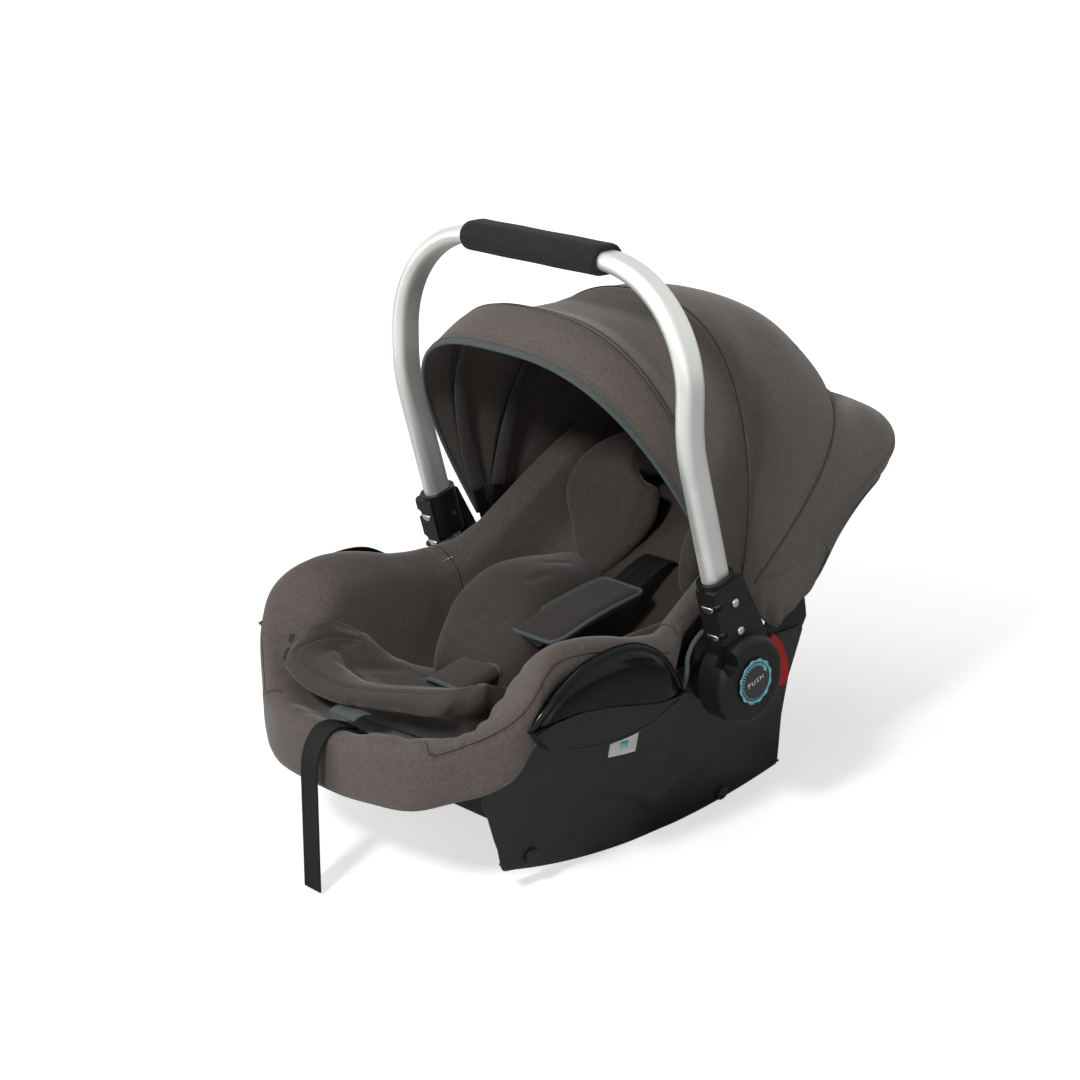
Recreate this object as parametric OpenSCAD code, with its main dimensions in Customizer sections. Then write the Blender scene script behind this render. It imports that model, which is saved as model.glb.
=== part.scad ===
// Infant car seat with a rocker base, a folding carry handle and a hood.
// Millimetres. +Z is up, the occupant faces -Y, and the origin is on the floor
// below the middle of the seat.

/* [Seat shell] */
// Length of the moulded shell, from foot end to head end
shell_len = 650; // [620:5:680]
// Half the width of the shell beside the occupant's legs
front_half_w = 176; // [170:1:180]
// Half the width of the shell beside the occupant's head
rear_half_w = 158; // [150:1:160]
// Thickness of the moulded shell
shell_wall = 4; // [3:0.5:5]
// Thickness of the foam lining on the shell's walls
foam_t = 12; // [8:1:14]
// Thickness of the padded cover on the inside
cover_t = 8; // [5:1:10]
// Thickness of the padded cover on the outside of the rim
flap_t = 6; // [4:0.5:7]

/* [Rocker] */
// Radius of the rocking edge
rocker_r = 700; // [500:10:900]
// Length of the flat in the middle of the rocking edge
rest_flat = 60; // [20:5:90]
// Lowest place of the rocking edge, front to back
rocker_mid_y = -20; // [-40:1:10]
// Half the width across the runners at the floor
runner_half_w = 120; // [110:1:124]
// Outward lean of the side panels
panel_lean = 16.7; // [14:0.1:17]
// Height of the side panels
panel_top = 198; // [190:1:200]
// Thickness of the side panels
panel_t = 4; // [3:0.5:5]
// Diameter of the rubber feet
foot_d = 16; // [12:1:20]

/* [Handle] */
// Height of the handle's pivot
pivot_z = 182; // [178:1:186]
// Place of the handle's pivot, front to back
pivot_y = 8; // [0:1:15]
// How far the handle's legs lean forward in every 25 of their length
handle_run = 7; // [5:0.5:8]
// Half the distance between the handle's legs
handle_half_w = 196.5; // [195:0.5:200]
// Length of a leg from the pivot to the knee
leg_len = 225; // [200:5:240]
// Radius of the knee
knee_r = 175; // [125:25:225]
// Height of the straight stretch above the knee
upright_len = 18; // [10:1:60]
// Radius of the top corners
corner_r = 112; // [90:1:118]
// Thickness of the oval tube across the seat
tube_x = 18; // [16:0.5:20]
// Depth of the oval tube, front to back
tube_y = 30; // [26:0.5:32]
// Wall of the oval tube
tube_wall = 1.5; // [1:0.25:2.5]
// Length of the foam grip
grip_len = 184; // [140:2:188]
// Thickness of the foam on the grip
grip_t = 5.5; // [3:0.5:7]

/* [Handle hubs] */
// Radius of the hub drum
hub_r = 44; // [42:1:46]
// Inner face of the hub drum
hub_in = 188; // [187:0.5:190]
// Outer face of the hub drum
hub_out = 222; // [220:0.5:226]
// Length of the socket that holds the tube
socket_len = 50; // [40:1:60]
// Height of the socket's mouth above the pivot
socket_top = 110; // [104:1:116]
// Wall of the socket
socket_wall = 5; // [3.5:0.5:6]
// Diameter of the push button
button_d = 46; // [38:1:50]
// Travel of the push button
button_travel = 4; // [2:0.5:4.5]
// Diameter of the pivot bolt
bolt_d = 10; // [8:0.5:12]
// Diameter of the rivets through the tube
rivet_d = 5; // [4:0.5:6]

/* [Belt guides] */
// Inner face of the glossy lap belt guide
guide_in = 191.5; // [191:0.5:193]
// Outer face of the glossy lap belt guide
guide_out = 206; // [203:0.5:208]
// Width of the red shoulder belt hook
hook_w = 14; // [10:1:18]

/* [Hood] */
// Place of the hood's pivot, front to back
hood_y = 30; // [26:1:36]
// Height of the hood's pivot
hood_z = 238; // [234:1:240]
// Half the width of the hood
hood_half_w = 178; // [177:0.5:179]
// Thickness of the hood's fabric with its lining
fabric_t = 3; // [2:0.5:4]
// Thickness of the bows
bow_t = 3; // [2:0.25:3.25]
// Width of the bows
bow_w = 12; // [8:1:14]
// Angle of the front bow, forward of upright
front_bow_angle = 18; // [15:1:20]
// Angle of the middle bow, back from upright
mid_bow_angle = 9; // [6:1:12]
// Diameter of the hood's pivot pins
hood_pin_d = 6; // [5:0.5:8]

/* [Harness] */
// Width of the shoulder webbing
strap_w = 38; // [25:1:40]
// Thickness of the webbing
strap_t = 2; // [1.5:0.1:2.5]
// Width of the shoulder pads
pad_w = 60; // [50:1:66]
// Thickness of the shoulder pads
pad_t = 10; // [8:0.5:12]
// Width of the adjuster strap
pull_w = 24; // [20:1:30]
// Width of the buckle
buckle_w = 40; // [36:1:48]
// Length of the buckle
buckle_len = 46; // [40:1:56]
// Travel of the buckle's release button
release_travel = 3; // [1:0.5:4]

/* [Hidden] */

seat_gap = 0.3;          // gap between pieces that rest on each other
pin_fit = 0.05;          // radial fit of a pin in its bore
fabric_dark = "#5a514d";
fabric_lining = "#3a3533";
plastic_black = "#1b1c1c";
webbing_black = "#161616";

// ---- curves -------------------------------------------------------------

function mix(a, b, t) = a + (b - a) * t;
function ease(t) = let (u = min(1, max(0, t))) u * u * (3 - 2 * u);
function spow(v, e) = sign(v) * pow(abs(v), e);
function unit(v) = v / norm(v);

// A smooth curve through a short list of [place, height] keys.
function key_at(y, k, i = 0) = i >= len(k) - 2 || y < k[i + 1][0] ? i : key_at(y, k, i + 1);
function key_slope(k, i) =
    let (a = max(0, i - 1), b = min(len(k) - 1, i + 1)) (k[b][1] - k[a][1]) / (k[b][0] - k[a][0]);
function flow(y, k) =
    let (i = key_at(y, k), h = k[i + 1][0] - k[i][0],
         t = min(1, max(0, (y - k[i][0]) / h)), t2 = t * t, t3 = t2 * t)
    k[i][1] * (2 * t3 - 3 * t2 + 1) + key_slope(k, i) * h * (t3 - 2 * t2 + t)
    + k[i + 1][1] * (3 * t2 - 2 * t3) + key_slope(k, i + 1) * h * (t3 - t2);

// An outline with every corner rounded back by r.
function soften(p, r, n = 4) = [
    for (i = [0:len(p) - 1])
        let (b = p[i], a = p[(i + len(p) - 1) % len(p)], c = p[(i + 1) % len(p)],
             s = b + unit(a - b) * r, e = b + unit(c - b) * r)
        for (j = [0:n]) let (t = j / n) s * (1 - t) ^ 2 + b * 2 * t * (1 - t) + e * t ^ 2];

// A cubic curve from a to d, steered by b and c.
function bezier(a, b, c, d, n = 10) = [
    for (j = [0:n]) let (t = j / n, u = 1 - t)
        a * u ^ 3 + b * 3 * u * u * t + c * 3 * u * t * t + d * t ^ 3];

// A closed solid through a list of rings with equal numbers of points. Up to
// ring number turn the faces split the other way, so that two skins that run
// along each other in opposite directions stay parallel. With band set a ring
// is an outer line and the same line back on the inside.
module skin(rings, turn = 0, band = false) {
    n = len(rings[0]);
    e = (len(rings) - 1) * n;
    points = [for (r = rings) for (p = r) p];
    sides = [for (k = [0:len(rings) - 2]) for (i = [0:n - 1])
        let (a = k * n + i, b = k * n + (i + 1) % n)
        each k < turn ? [[a, b, a + n], [b, b + n, a + n]] : [[a, b, b + n], [a, b + n, a + n]]];
    first = band ? [for (i = [0:n / 2 - 2]) each [[i, n - 1 - i, n - 2 - i], [i, n - 2 - i, i + 1]]]
        : [for (i = [1:n - 2]) [0, i + 1, i]];
    last = band ? [for (i = [0:n / 2 - 2]) each [[e + i, e + i + 1, e + n - 2 - i],
            [e + i, e + n - 2 - i, e + n - 1 - i]]]
        : [for (i = [1:n - 2]) [e, e + i, e + i + 1]];
    polyhedron(points, concat(sides, first, last));
}

// A flat strap along a path in the length of the seat, widest across it.
module ribbon(path, width, thick) {
    skin([for (i = [0:len(path) - 1])
        let (a = path[max(0, i - 1)], b = path[min(len(path) - 1, i + 1)],
             d = unit([b[1] - a[1], b[2] - a[2]]), up = [0, -d[1], d[0]] * thick / 2,
             out = [width / 2, 0, 0], p = path[i])
        [p - out - up, p - out + up, p + out + up, p + out - up]]);
}

// A cushion with an oval section that changes along its path.
module cushion(path, half_w, half_t, sides = 16) {
    skin([for (i = [0:len(path) - 1])
        let (a = path[max(0, i - 1)], b = path[min(len(path) - 1, i + 1)],
             d = unit(b - a), side = unit(cross(d, [0, -0.6, 0.8])), up = cross(side, d))
        [for (j = [0:sides - 1]) let (w = -360 * j / sides)
            path[i] + side * half_w[i] * spow(cos(w), 0.8) + up * half_t[i] * spow(sin(w), 0.8)]]);
}

module both(side) {
    if (side == "left") mirror([1, 0, 0]) children();
    else children();
}

// Turns an outline in [y, z] into a plate from x = from to x = to.
module side_plate(from, to) {
    translate([from, 0, 0]) rotate([90, 0, 90]) linear_extrude(to - from) children();
}

// ---- bucket -------------------------------------------------------------

mid_y = 0;
half_len = shell_len / 2;
plan_power = 3.5;
bowl_sides = 48;

// Top edge of the shell, and its floor, from foot end to head end.
rim_keys = [[-330, 146], [-300, 158], [-262, 196], [-225, 228], [-180, 238], [-140, 236],
    [-100, 226], [-67, 222], [-30, 232], [5, 250], [63, 285], [122, 318], [152, 332],
    [220, 352], [290, 356], [335, 342]];
floor_keys = [[-330, 124], [-250, 103], [-200, 88], [-150, 76], [-100, 68], [-50, 66],
    [0, 80], [50, 105], [100, 132], [150, 160], [200, 190], [250, 220], [300, 246], [335, 258]];
// Top of the padding that the occupant's insert lies on.
seat_keys = [[-330, 146], [-290, 141], [-250, 133], [-200, 123], [-140, 109], [-85, 99],
    [-45, 103], [0, 141], [40, 183], [75, 214], [120, 247], [160, 273], [200, 298],
    [250, 318], [300, 330], [335, 334]];
// How far the walls lean in on the way down: [share of the plan, share of the depth].
shell_slope = [[1, 0], [0.978, 0.08], [0.955, 0.2], [0.91, 0.4], [0.85, 0.62], [0.78, 0.8],
    [0.68, 0.93], [0.55, 1], [0.42, 1], [0.3, 1], [0.18, 1], [0.05, 1]];
lining_slope = [[0.985, 0.06], [0.965, 0.16], [0.94, 0.35], [0.91, 0.6], [0.87, 0.8],
    [0.8, 0.93], [0.7, 1], [0.55, 1], [0.42, 1], [0.3, 1], [0.18, 1], [0.05, 1]];

function half_w_at(y) = mix(rear_half_w, front_half_w, ease((-10 - y) / 70));
function plan_x(y) =
    half_w_at(y) * pow(max(0, 1 - pow(abs(y - mid_y) / half_len, plan_power)), 1 / plan_power);

// One ring of the bucket: grow is its distance outside the shell's outer face.
function bowl_ring(grow, slope, keys, floor_dz = 0, rim_dz = 0) = [
    for (i = [0:bowl_sides - 1])
        let (a = 360 * i / bowl_sides,
             c = spow(cos(a), 2 / plan_power), s = spow(sin(a), 2 / plan_power),
             rim_y = mid_y + half_len * s,
             y = mid_y + (half_len + grow) * slope[0] * s,
             x = (half_w_at(rim_y) + grow) * slope[0] * c,
             z = mix(flow(rim_y, rim_keys) + rim_dz, flow(y, keys) + floor_dz, slope[1]))
        [x, y, z]];

function down(n) = [for (i = [0:n - 1]) i];
function up(n) = [for (i = [n - 1:-1:0]) i];

module seat_shell() {
    n = len(shell_slope);
    color(plastic_black) skin(concat(
        [for (k = up(n)) bowl_ring(0, shell_slope[k], floor_keys, -shell_wall)],
        [for (k = down(n)) bowl_ring(-shell_wall, shell_slope[k], floor_keys)]), n - 1);
}

module foam_liner() {
    n = len(shell_slope);
    color("#d9d9d6") skin(concat(
        [for (k = [n - 1:-1:1]) bowl_ring(-shell_wall - seat_gap, shell_slope[k], floor_keys, seat_gap)],
        [for (k = [0:len(lining_slope) - 1])
            bowl_ring(seat_gap - shell_wall - foam_t, lining_slope[k], seat_keys, -cover_t - seat_gap)]), n - 2);
}

// The cover's hem on the outside of the rim, before and behind the lap belt guide.
hem_keys = [[-345, 100], [-300, 112], [-262, 146], [-235, 176], [-80, 178], [-62, 186],
    [-48, 206], [-36, 222], [-20, 228], [5, 240], [63, 273], [122, 306], [152, 320],
    [220, 340], [290, 344], [345, 330]];
flap_in = runner_half_w + panel_top * tan(panel_lean) + 0.6 - front_half_w;

// A ring on the outside of the rim: hem is its share of the way down to the hem.
function flap_ring(front_grow, rear_grow, dz, hem) = [
    for (i = [0:bowl_sides - 1])
        let (a = 360 * i / bowl_sides,
             c = spow(cos(a), 2 / plan_power), s = spow(sin(a), 2 / plan_power),
             rim_y = mid_y + half_len * s,
             grow = mix(rear_grow, front_grow, ease((-20 - rim_y) / 60)),
             y = mid_y + (half_len + min(grow, 8)) * s,
             x = (half_w_at(rim_y) + grow) * c)
        [x, y, mix(flow(rim_y, rim_keys) + dz, flow(rim_y, hem_keys), hem)]];

rim_pad = 10;            // height of the padding on top of the rim

module seat_cover() {
    n = len(lining_slope);
    in = -shell_wall;
    color(fabric_dark) skin(concat(
        [for (k = up(n)) bowl_ring(in - foam_t, lining_slope[k], seat_keys, -cover_t)],
        [bowl_ring(in - 2.5 * seat_gap, [0.994, 0.02], floor_keys),
         bowl_ring(in - 2.5 * seat_gap, [1, 0], seat_keys, 0, seat_gap),
         flap_ring(seat_gap, seat_gap, seat_gap, 0),
         flap_ring(flap_in, seat_gap, -6, 0),
         flap_ring(flap_in, seat_gap, -6, 0.5),
         flap_ring(flap_in, seat_gap, 0, 1),
         flap_ring(flap_in + flap_t, 3, 0, 1),
         flap_ring(flap_in + flap_t, 4, -6, 0.5),
         flap_ring(flap_in + flap_t, 4, -4, 0),
         flap_ring(flap_in + flap_t - 3, 2, 5, 0),
         flap_ring(1, -2, rim_pad, 0)],
        [bowl_ring(in - foam_t / 2, [1, 0], seat_keys, 0, rim_pad - 1)],
        [for (k = down(n)) bowl_ring(in - foam_t - cover_t, lining_slope[k], seat_keys)]), n + 2);
}

// ---- rocker base --------------------------------------------------------

panel_slope = tan(panel_lean);
function panel_x(z) = runner_half_w + z * panel_slope;
rocker_drop = rocker_r - sqrt(rocker_r ^ 2 - (rest_flat / 2) ^ 2);
base_front = -262;
base_rear = 131;
rib_front = -200;
rib_rear = 120;
rib_t = 4;
hub_hole_r = 34;
hem_top = 171;           // the panel stops here in front of the hubs, below the cover's hem

// Places things in the side panel's own plane: x out of it, z up along it.
module on_panel() { translate([runner_half_w, 0, 0]) rotate([0, panel_lean, 0]) children(); }

module panel_outline() {
    up_scale = 1 / cos(panel_lean);
    polygon(soften([[-212, -5], [base_front, 116 * up_scale],
        [-250, hem_top * up_scale], [-76, hem_top * up_scale], [-54, panel_top * up_scale],
        [base_rear, panel_top * up_scale], [base_rear - 1, 140 * up_scale],
        [base_rear + 8, 90 * up_scale], [base_rear + 30, 10], [base_rear + 20, -5]], 10));
}

// The disc that the rocking edge is cut from, seen from the side.
module rocking_disc(less = 0) {
    translate([rocker_mid_y, rocker_r - rocker_drop]) circle(r = rocker_r - less, $fn = 360);
}

module side_panel() {
    rail_h = 3;
    rail_w = 12;
    difference() {
        intersection() {
            union() {
                on_panel() side_plate(-panel_t, 0) panel_outline();
                difference() {
                    on_panel() side_plate(-rail_w, 0) panel_outline();
                    side_plate(0, 300) rocking_disc(rail_h);
                }
                on_panel() for (y = [-150, -80, -10, 60])
                    translate([-rail_w, y - 1.5, 0]) side_plate(0, rail_w - 1)
                        square([3, 50]);
            }
            side_plate(0, 300) intersection() {
                rocking_disc();
                translate([-400, 0]) square([800, panel_top]);
            }
        }
        translate([0, pivot_y, pivot_z]) rotate([0, 90, 0]) cylinder(r = hub_hole_r + seat_gap, h = 250, $fn = 96);
        for (f = foot_places) on_panel() translate([-10, f[0], f[1]])
            rotate([0, 90, 0]) cylinder(d = foot_d / 2, h = 20, $fn = 48);
    }
}

function floor_under(y) =
    min(flow(y - rib_t / 2, floor_keys), flow(y + rib_t / 2, floor_keys)) - shell_wall - seat_gap;

// A rib between the panels, with a notch at the top for the webbing.
module cross_rib(y, height) {
    top = floor_under(y);
    low = top - height;
    notch = [pull_w / 2 + 3, top - 9];
    translate([0, y + rib_t / 2, 0]) rotate([90, 0, 0]) linear_extrude(rib_t)
        polygon([[-panel_x(low) + panel_t / 2, low], [panel_x(low) - panel_t / 2, low],
            [panel_x(top) - panel_t / 2, top], [notch[0], top], notch,
            [-notch[0], notch[1]], [-notch[0], top], [-panel_x(top) + panel_t / 2, top]]);
}

module rocker_base() {
    color(plastic_black) {
        side_panel();
        mirror([1, 0, 0]) side_panel();
        cross_rib(rib_front, 26);
        cross_rib(rib_rear, 34);
    }
}

// Feet: [front to back, up along the panel].
foot_places = [[-198, 39], [75, 16]];
foot_t = 3;

module rocker_feet() {
    color("#101010") for (m = [0, 1]) mirror([m, 0, 0]) for (f = foot_places)
        on_panel() translate([0, f[0], f[1]]) rotate([0, 90, 0]) {
            translate([0, 0, seat_gap]) cylinder(d = foot_d, h = foot_t, $fn = 64);
            translate([0, 0, -panel_t - 2]) cylinder(d = foot_d / 2 - 2 * pin_fit, h = foot_t + panel_t + 2, $fn = 48);
        }
}

// ---- handle -------------------------------------------------------------

handle_lean = asin(handle_run / 25);
knee_y = pivot_y - leg_len * sin(handle_lean) - knee_r * (1 - cos(handle_lean));
knee_z = pivot_z + leg_len * cos(handle_lean) + knee_r * sin(handle_lean);
grip_half = handle_half_w - corner_r;
grip_z = knee_z + upright_len + corner_r;
tube_start = socket_top - socket_len - 19;

// The oval section: a long, b across.
module oval(a, b) {
    square([a - b, b], center = true);
    for (s = [-1, 1]) translate([s * (a - b) / 2, 0]) circle(d = b, $fn = 48);
}

module in_handle() { translate([0, pivot_y, pivot_z]) rotate([handle_lean, 0, 0]) children(); }

module handle_sweep(a, b) {
    translate([-grip_half, knee_y, grip_z]) rotate([90, 0, 90])
        linear_extrude(2 * grip_half) oval(a, b);
    for (m = [0, 1]) mirror([m, 0, 0]) {
        translate([grip_half, knee_y, grip_z - corner_r]) rotate([90, 0, 0])
            rotate_extrude(angle = 90, $fn = 96) translate([corner_r, 0]) rotate(90) oval(a, b);
        translate([handle_half_w, knee_y, knee_z]) linear_extrude(upright_len)
            rotate(90) oval(a, b);
        translate([handle_half_w, knee_y + knee_r, knee_z]) rotate([90, 0, 90]) rotate(180)
            rotate_extrude(angle = handle_lean, $fn = 96) translate([knee_r, 0]) oval(a, b);
        in_handle() translate([handle_half_w, 0, tube_start])
            linear_extrude(leg_len - tube_start) rotate(90) oval(a, b);
    }
}

// Rivets: [front to back, up the leg].
rivet_places = [[4, socket_top - 27], [4, tube_start + 11]];

module rivet_holes(d, from, to) {
    for (r = rivet_places) translate([from, r[0], r[1]]) rotate([0, 90, 0])
        cylinder(d = d, h = to - from, $fn = 32);
}

module handle_tube() {
    color("#b9bcb9") difference() {
        handle_sweep(tube_y, tube_x);
        handle_sweep(tube_y - 2 * tube_wall, tube_x - 2 * tube_wall);
        for (m = [0, 1]) mirror([m, 0, 0]) in_handle()
            rivet_holes(rivet_d + 2 * pin_fit, handle_half_w - tube_x, handle_half_w + tube_x);
    }
}

module handle_grip() {
    color("#262626") translate([-grip_len / 2, knee_y, grip_z]) rotate([90, 0, 90]) difference() {
        linear_extrude(grip_len) oval(tube_y + 2 * grip_t, tube_x + 2 * grip_t);
        translate([0, 0, -1]) linear_extrude(grip_len + 2)
            oval(tube_y + 2 * seat_gap, tube_x + 2 * seat_gap);
    }
}

socket_in = handle_half_w - tube_x / 2 - socket_wall;
socket_out = handle_half_w + tube_x / 2 + socket_wall;
arm_out = socket_out + 1;
bolt_head_t = 4;
pocket_floor = hub_out - 11;

module hub_profile() {
    round = 8;
    polygon(concat([[0, hub_in], [hub_r - 2, hub_in], [hub_r, hub_in + 2]],
        [for (a = [0:15:75]) [hub_r - round + round * cos(a), hub_out - round + round * sin(a)]],
        [[hub_r - round, hub_out], [0, hub_out]]));
}

module handle_arm(side) {
    half = tube_y / 2 + socket_wall;
    color(plastic_black) both(side) in_handle() difference() {
        union() {
            rotate([0, 90, 0]) rotate_extrude($fn = 120) hub_profile();
            side_plate(hub_in, arm_out) polygon(soften([[-half, socket_top - 4], [half, socket_top - 4],
                [half + 14, socket_top * 0.45], [hub_r * 0.98, 4], [10, -30], [-10, -30],
                [-hub_r * 0.98, 4], [-half - 3, 38], [-half, socket_top * 0.5]], 4));
            translate([handle_half_w, 0, socket_top - socket_len]) linear_extrude(socket_len)
                rotate(90) oval(tube_y + 2 * socket_wall, tube_x + 2 * socket_wall);
        }
        translate([handle_half_w, 0, tube_start - 1]) linear_extrude(leg_len)
            rotate(90) oval(tube_y + 2 * seat_gap, tube_x + 2 * seat_gap);
        rotate([0, 90, 0]) cylinder(r = bolt_d / 2 + pin_fit, h = 300, $fn = 64);
        translate([pocket_floor, 0, 0]) rotate([0, 90, 0])
            cylinder(d = button_d + 2 * seat_gap, h = 50, $fn = 96);
        rivet_holes(rivet_d + 2 * pin_fit, socket_in - 5, arm_out + 5);
        for (z = [socket_top - 22, tube_start + 16])
            translate([arm_out - 3, -half + 4, z]) rotate([0, 45, -45]) rotate([0, 45, 0]) intersection() {
                cylinder(d = 9, h = 30, center = true, $fn = 32);
                translate([-5, -15, -15]) cube([30, 30, 30]);
            }
        translate([arm_out - 6, -half - 8, 22]) side_plate(0, 20)
            polygon(soften([[-4, 0], [12, 0], [12, 26], [-4, 26]], 5));
    }
}

module handle_rivets() {
    head = 1.8;
    color("#c4c8ca") for (m = [0, 1]) mirror([m, 0, 0]) in_handle() {
        rivet_holes(rivet_d, socket_in, arm_out + 0.5);
        for (r = rivet_places) {
            translate([arm_out + seat_gap, r[0], r[1]]) rotate([0, 90, 0]) cylinder(d = rivet_d + 3, h = head, $fn = 32);
        }
    }
}

module pivot_bolt(side) {
    color("#8f9396") both(side) translate([0, pivot_y, pivot_z]) rotate([0, 90, 0]) {
        translate([0, 0, hub_in - 26]) cylinder(d = bolt_d, h = pocket_floor - hub_in + 27, $fn = 64);
        translate([0, 0, pocket_floor + seat_gap]) cylinder(d = bolt_d + 8, h = bolt_head_t - seat_gap, $fn = 64);
    }
}

module push_button(side) {
    lip = 2;
    skirt = pocket_floor + button_travel + 0.5;
    color("#20282a") both(side) in_handle() rotate([0, 90, 0]) difference() {
        translate([0, 0, skirt]) cylinder(d = button_d, h = hub_out + lip - skirt, $fn = 96);
        translate([0, 0, skirt - 1]) cylinder(d = button_d - 6, h = hub_out - 2 - skirt + 1, $fn = 96);
    }
}

module hub_base(side) {
    inner = hub_in - 33.5;
    color(plastic_black) both(side) translate([0, pivot_y, pivot_z]) rotate([0, 90, 0]) difference() {
        translate([0, 0, inner]) cylinder(r = hub_hole_r, h = hub_in - seat_gap - inner, $fn = 96);
        translate([0, 0, inner - 1]) cylinder(r = bolt_d / 2 + pin_fit, h = 60, $fn = 64);
        translate([0, 0, inner - 1]) difference() {
            cylinder(r = hub_hole_r - 4, h = 28, $fn = 96);
            cylinder(r = bolt_d / 2 + 5, h = 40, $fn = 64);
            for (a = [0:60:120]) rotate(a) cube([hub_hole_r * 2, 3, 80], center = true);
        }
    }
}

// ---- belt guides --------------------------------------------------------

guide_tip = [-257, 196];
guide_heel = [-62, 186];
// Seam between the glossy shield and its matt lower lip.
function guide_seam(dz) = bezier(guide_tip + [0, dz], [-185, 222 + dz], [-120, 174 + dz], guide_heel + [0, dz]);

module belt_guide(side) {
    crown_r = 300;
    color("#0f1110") both(side) intersection() {
        side_plate(guide_in, guide_out + 2) polygon(concat(
            bezier(guide_heel + [2, 3], [-60, 245], [-110, 262], [-150, 262]),
            bezier([-151, 262], [-205, 262], [-240, 225], guide_tip + [0, 3]),
            guide_seam(seat_gap)));
        translate([guide_out - crown_r, -150, 200]) sphere(r = crown_r, $fn = 200);
    }
}

module guide_lip(side) {
    seam = guide_seam(0);
    low = bezier(guide_heel - [0, 1], [-95, 160], [-190, 152], [-240, 176]);
    foot_z = 165;
    color("#17191a") both(side) {
        side_plate(guide_in - 4, guide_out - 4) polygon(concat(
            [for (i = [0:len(seam) - 1]) seam[i] - [0, seat_gap]], low));
        translate([0, -195, foot_z - 4]) intersection() {
            translate([100, 0, 0]) cube([guide_in - 100, 80, 8]);
            translate([runner_half_w + (foot_z - 4) * panel_slope + seat_gap, -1, 0])
                rotate([0, panel_lean, 0]) translate([0, 0, -20]) cube([60, 90, 60]);
        }
    }
}

// The hook stays inside the handle's swing.
module belt_hook(side) {
    c = [44, 151];
    r = 62;
    lip = 6;
    out = socket_in - 0.8;
    color("#b3231a") both(side) intersection() {
        union() {
            side_plate(out - hook_w - 20, out - 2) intersection() {
                difference() {
                    translate(c) circle(r = r, $fn = 128);
                    translate(c) circle(r = r - 12, $fn = 128);
                }
                polygon([c, c + [100, -18], c + [110, 60], c + [62, 90]]);
            }
            side_plate(out - 3, out) intersection() {
                difference() {
                    translate(c) circle(r = r, $fn = 128);
                    translate(c) circle(r = r - 12 - lip, $fn = 128);
                }
                polygon([c, c + [100, -10], c + [110, 60], c + [62, 84]]);
            }
        }
        on_panel() translate([seat_gap, 0, -20]) cube([80, 200, 300]);
    }
}

// ---- hood ---------------------------------------------------------------

hood_sides = 30;
eye_r = 9;
// Along the hood: [angle back from upright, height above the pivots, squareness].
visor_keys = [[-31, 292, 2.9], [-26, 296, 2.9], [-21.5, 298, 2.8], [-front_bow_angle, 293, 2.8]];
front_keys = [[-front_bow_angle, 290, 2.7], [-12, 278, 2.6], [-4, 274, 2.6], [3, 275, 2.5],
    [mid_bow_angle, 280, 2.5]];
rear_keys = [[mid_bow_angle, 280, 2.5], [18, 290, 2.5], [26, 297, 2.5], [33, 300, 2.6],
    [40, 299, 2.7], [46, 294, 3], [51, 288, 3.3]];
boot_keys = [[51, 288, 3.3, 0], [56, 287, 3.6, 0.05], [61, 294, 4, 0.12], [66, 307, 4.5, 0.22],
    [70, 315, 4.8, 0.32], [75, 316, 4.8, 0.48], [81, 310, 4.8, 0.68], [87, 301, 4.5, 0.9],
    [91, 291, 4.2, 1]];
// How far the boot's lower edge lies over or under the pivots, from the pivots to the head end.
boot_dip = [[hood_y, 0], [60, -20], [110, -15], [148, 4], [185, 44], [225, 70], [264, 80],
    [335, 80]];
hood_seam = 0.15;        // half the angle left open between two panels
hood_start = 1.2;        // angle that keeps the fabric clear of the pivots
head_reach = half_len - 325;  // how much further back a longer shell takes the hood

function hood_point(row, t, grow) =
    let (x = (hood_half_w + grow) * spow(cos(t), 2 / row[2]),
         r = (row[1] + head_reach * ease((row[0] - 20) / 65) + grow) * pow(sin(t), 2 / row[2]))
    let (y = hood_y + r * sin(row[0]))
    [x, y, hood_z + r * cos(row[0]) + (len(row) > 3 ? row[3] * flow(y, boot_dip) : 0)];
function hood_ring(row) =
    let (step = (180 - 2 * hood_start) / hood_sides) concat(
        [for (i = [0:hood_sides]) hood_point(row, hood_start + i * step, 0)],
        [for (i = [hood_sides:-1:0]) hood_point(row, hood_start + i * step, -fabric_t)]);

module hood_panel(keys) {
    last = len(keys) - 1;
    skin([for (i = [0:last])
        hood_ring(concat([keys[i][0] + (i == 0 ? hood_seam : i == last ? -hood_seam : 0)],
            [for (j = [1:len(keys[i]) - 1]) keys[i][j]]))], band = true);
}

module hood_visor() { color(fabric_dark) hood_panel(visor_keys); }
module hood_front_panel() { color(fabric_dark) hood_panel(front_keys); }
module hood_rear_panel() { color(fabric_dark) hood_panel(rear_keys); }
module hood_boot() { color(fabric_dark) hood_panel(boot_keys); }

// A flat bow in its own upright plane, eyes and all.
module bow(angle, half_w, height, power, taper) {
    n = 40;
    arch = function(w, h) [for (i = [0:n]) let (t = 180 * i / n)
        [w * spow(cos(t), 2 / power), h * pow(sin(t), 2 / power)]];
    translate([0, hood_y, hood_z]) rotate([-angle, 0, 0]) difference() {
        union() {
            translate([0, bow_w / 2, 0]) rotate([90, 0, 0]) linear_extrude(bow_w) difference() {
                polygon(arch(half_w, height));
                polygon([for (p = arch(half_w - bow_t, height - bow_t)) [p[0], p[1] - 0.01]]);
            }
            for (s = [-1, 1]) scale([s, 1, 1]) translate([half_w - bow_t, 0, 0]) rotate([0, 90, 0])
                cylinder(r = eye_r, h = bow_t, $fn = 48);
        }
        rotate([0, 90, 0]) cylinder(r = hood_pin_d / 2 + pin_fit, h = 500, center = true, $fn = 48);
    }
}

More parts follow.
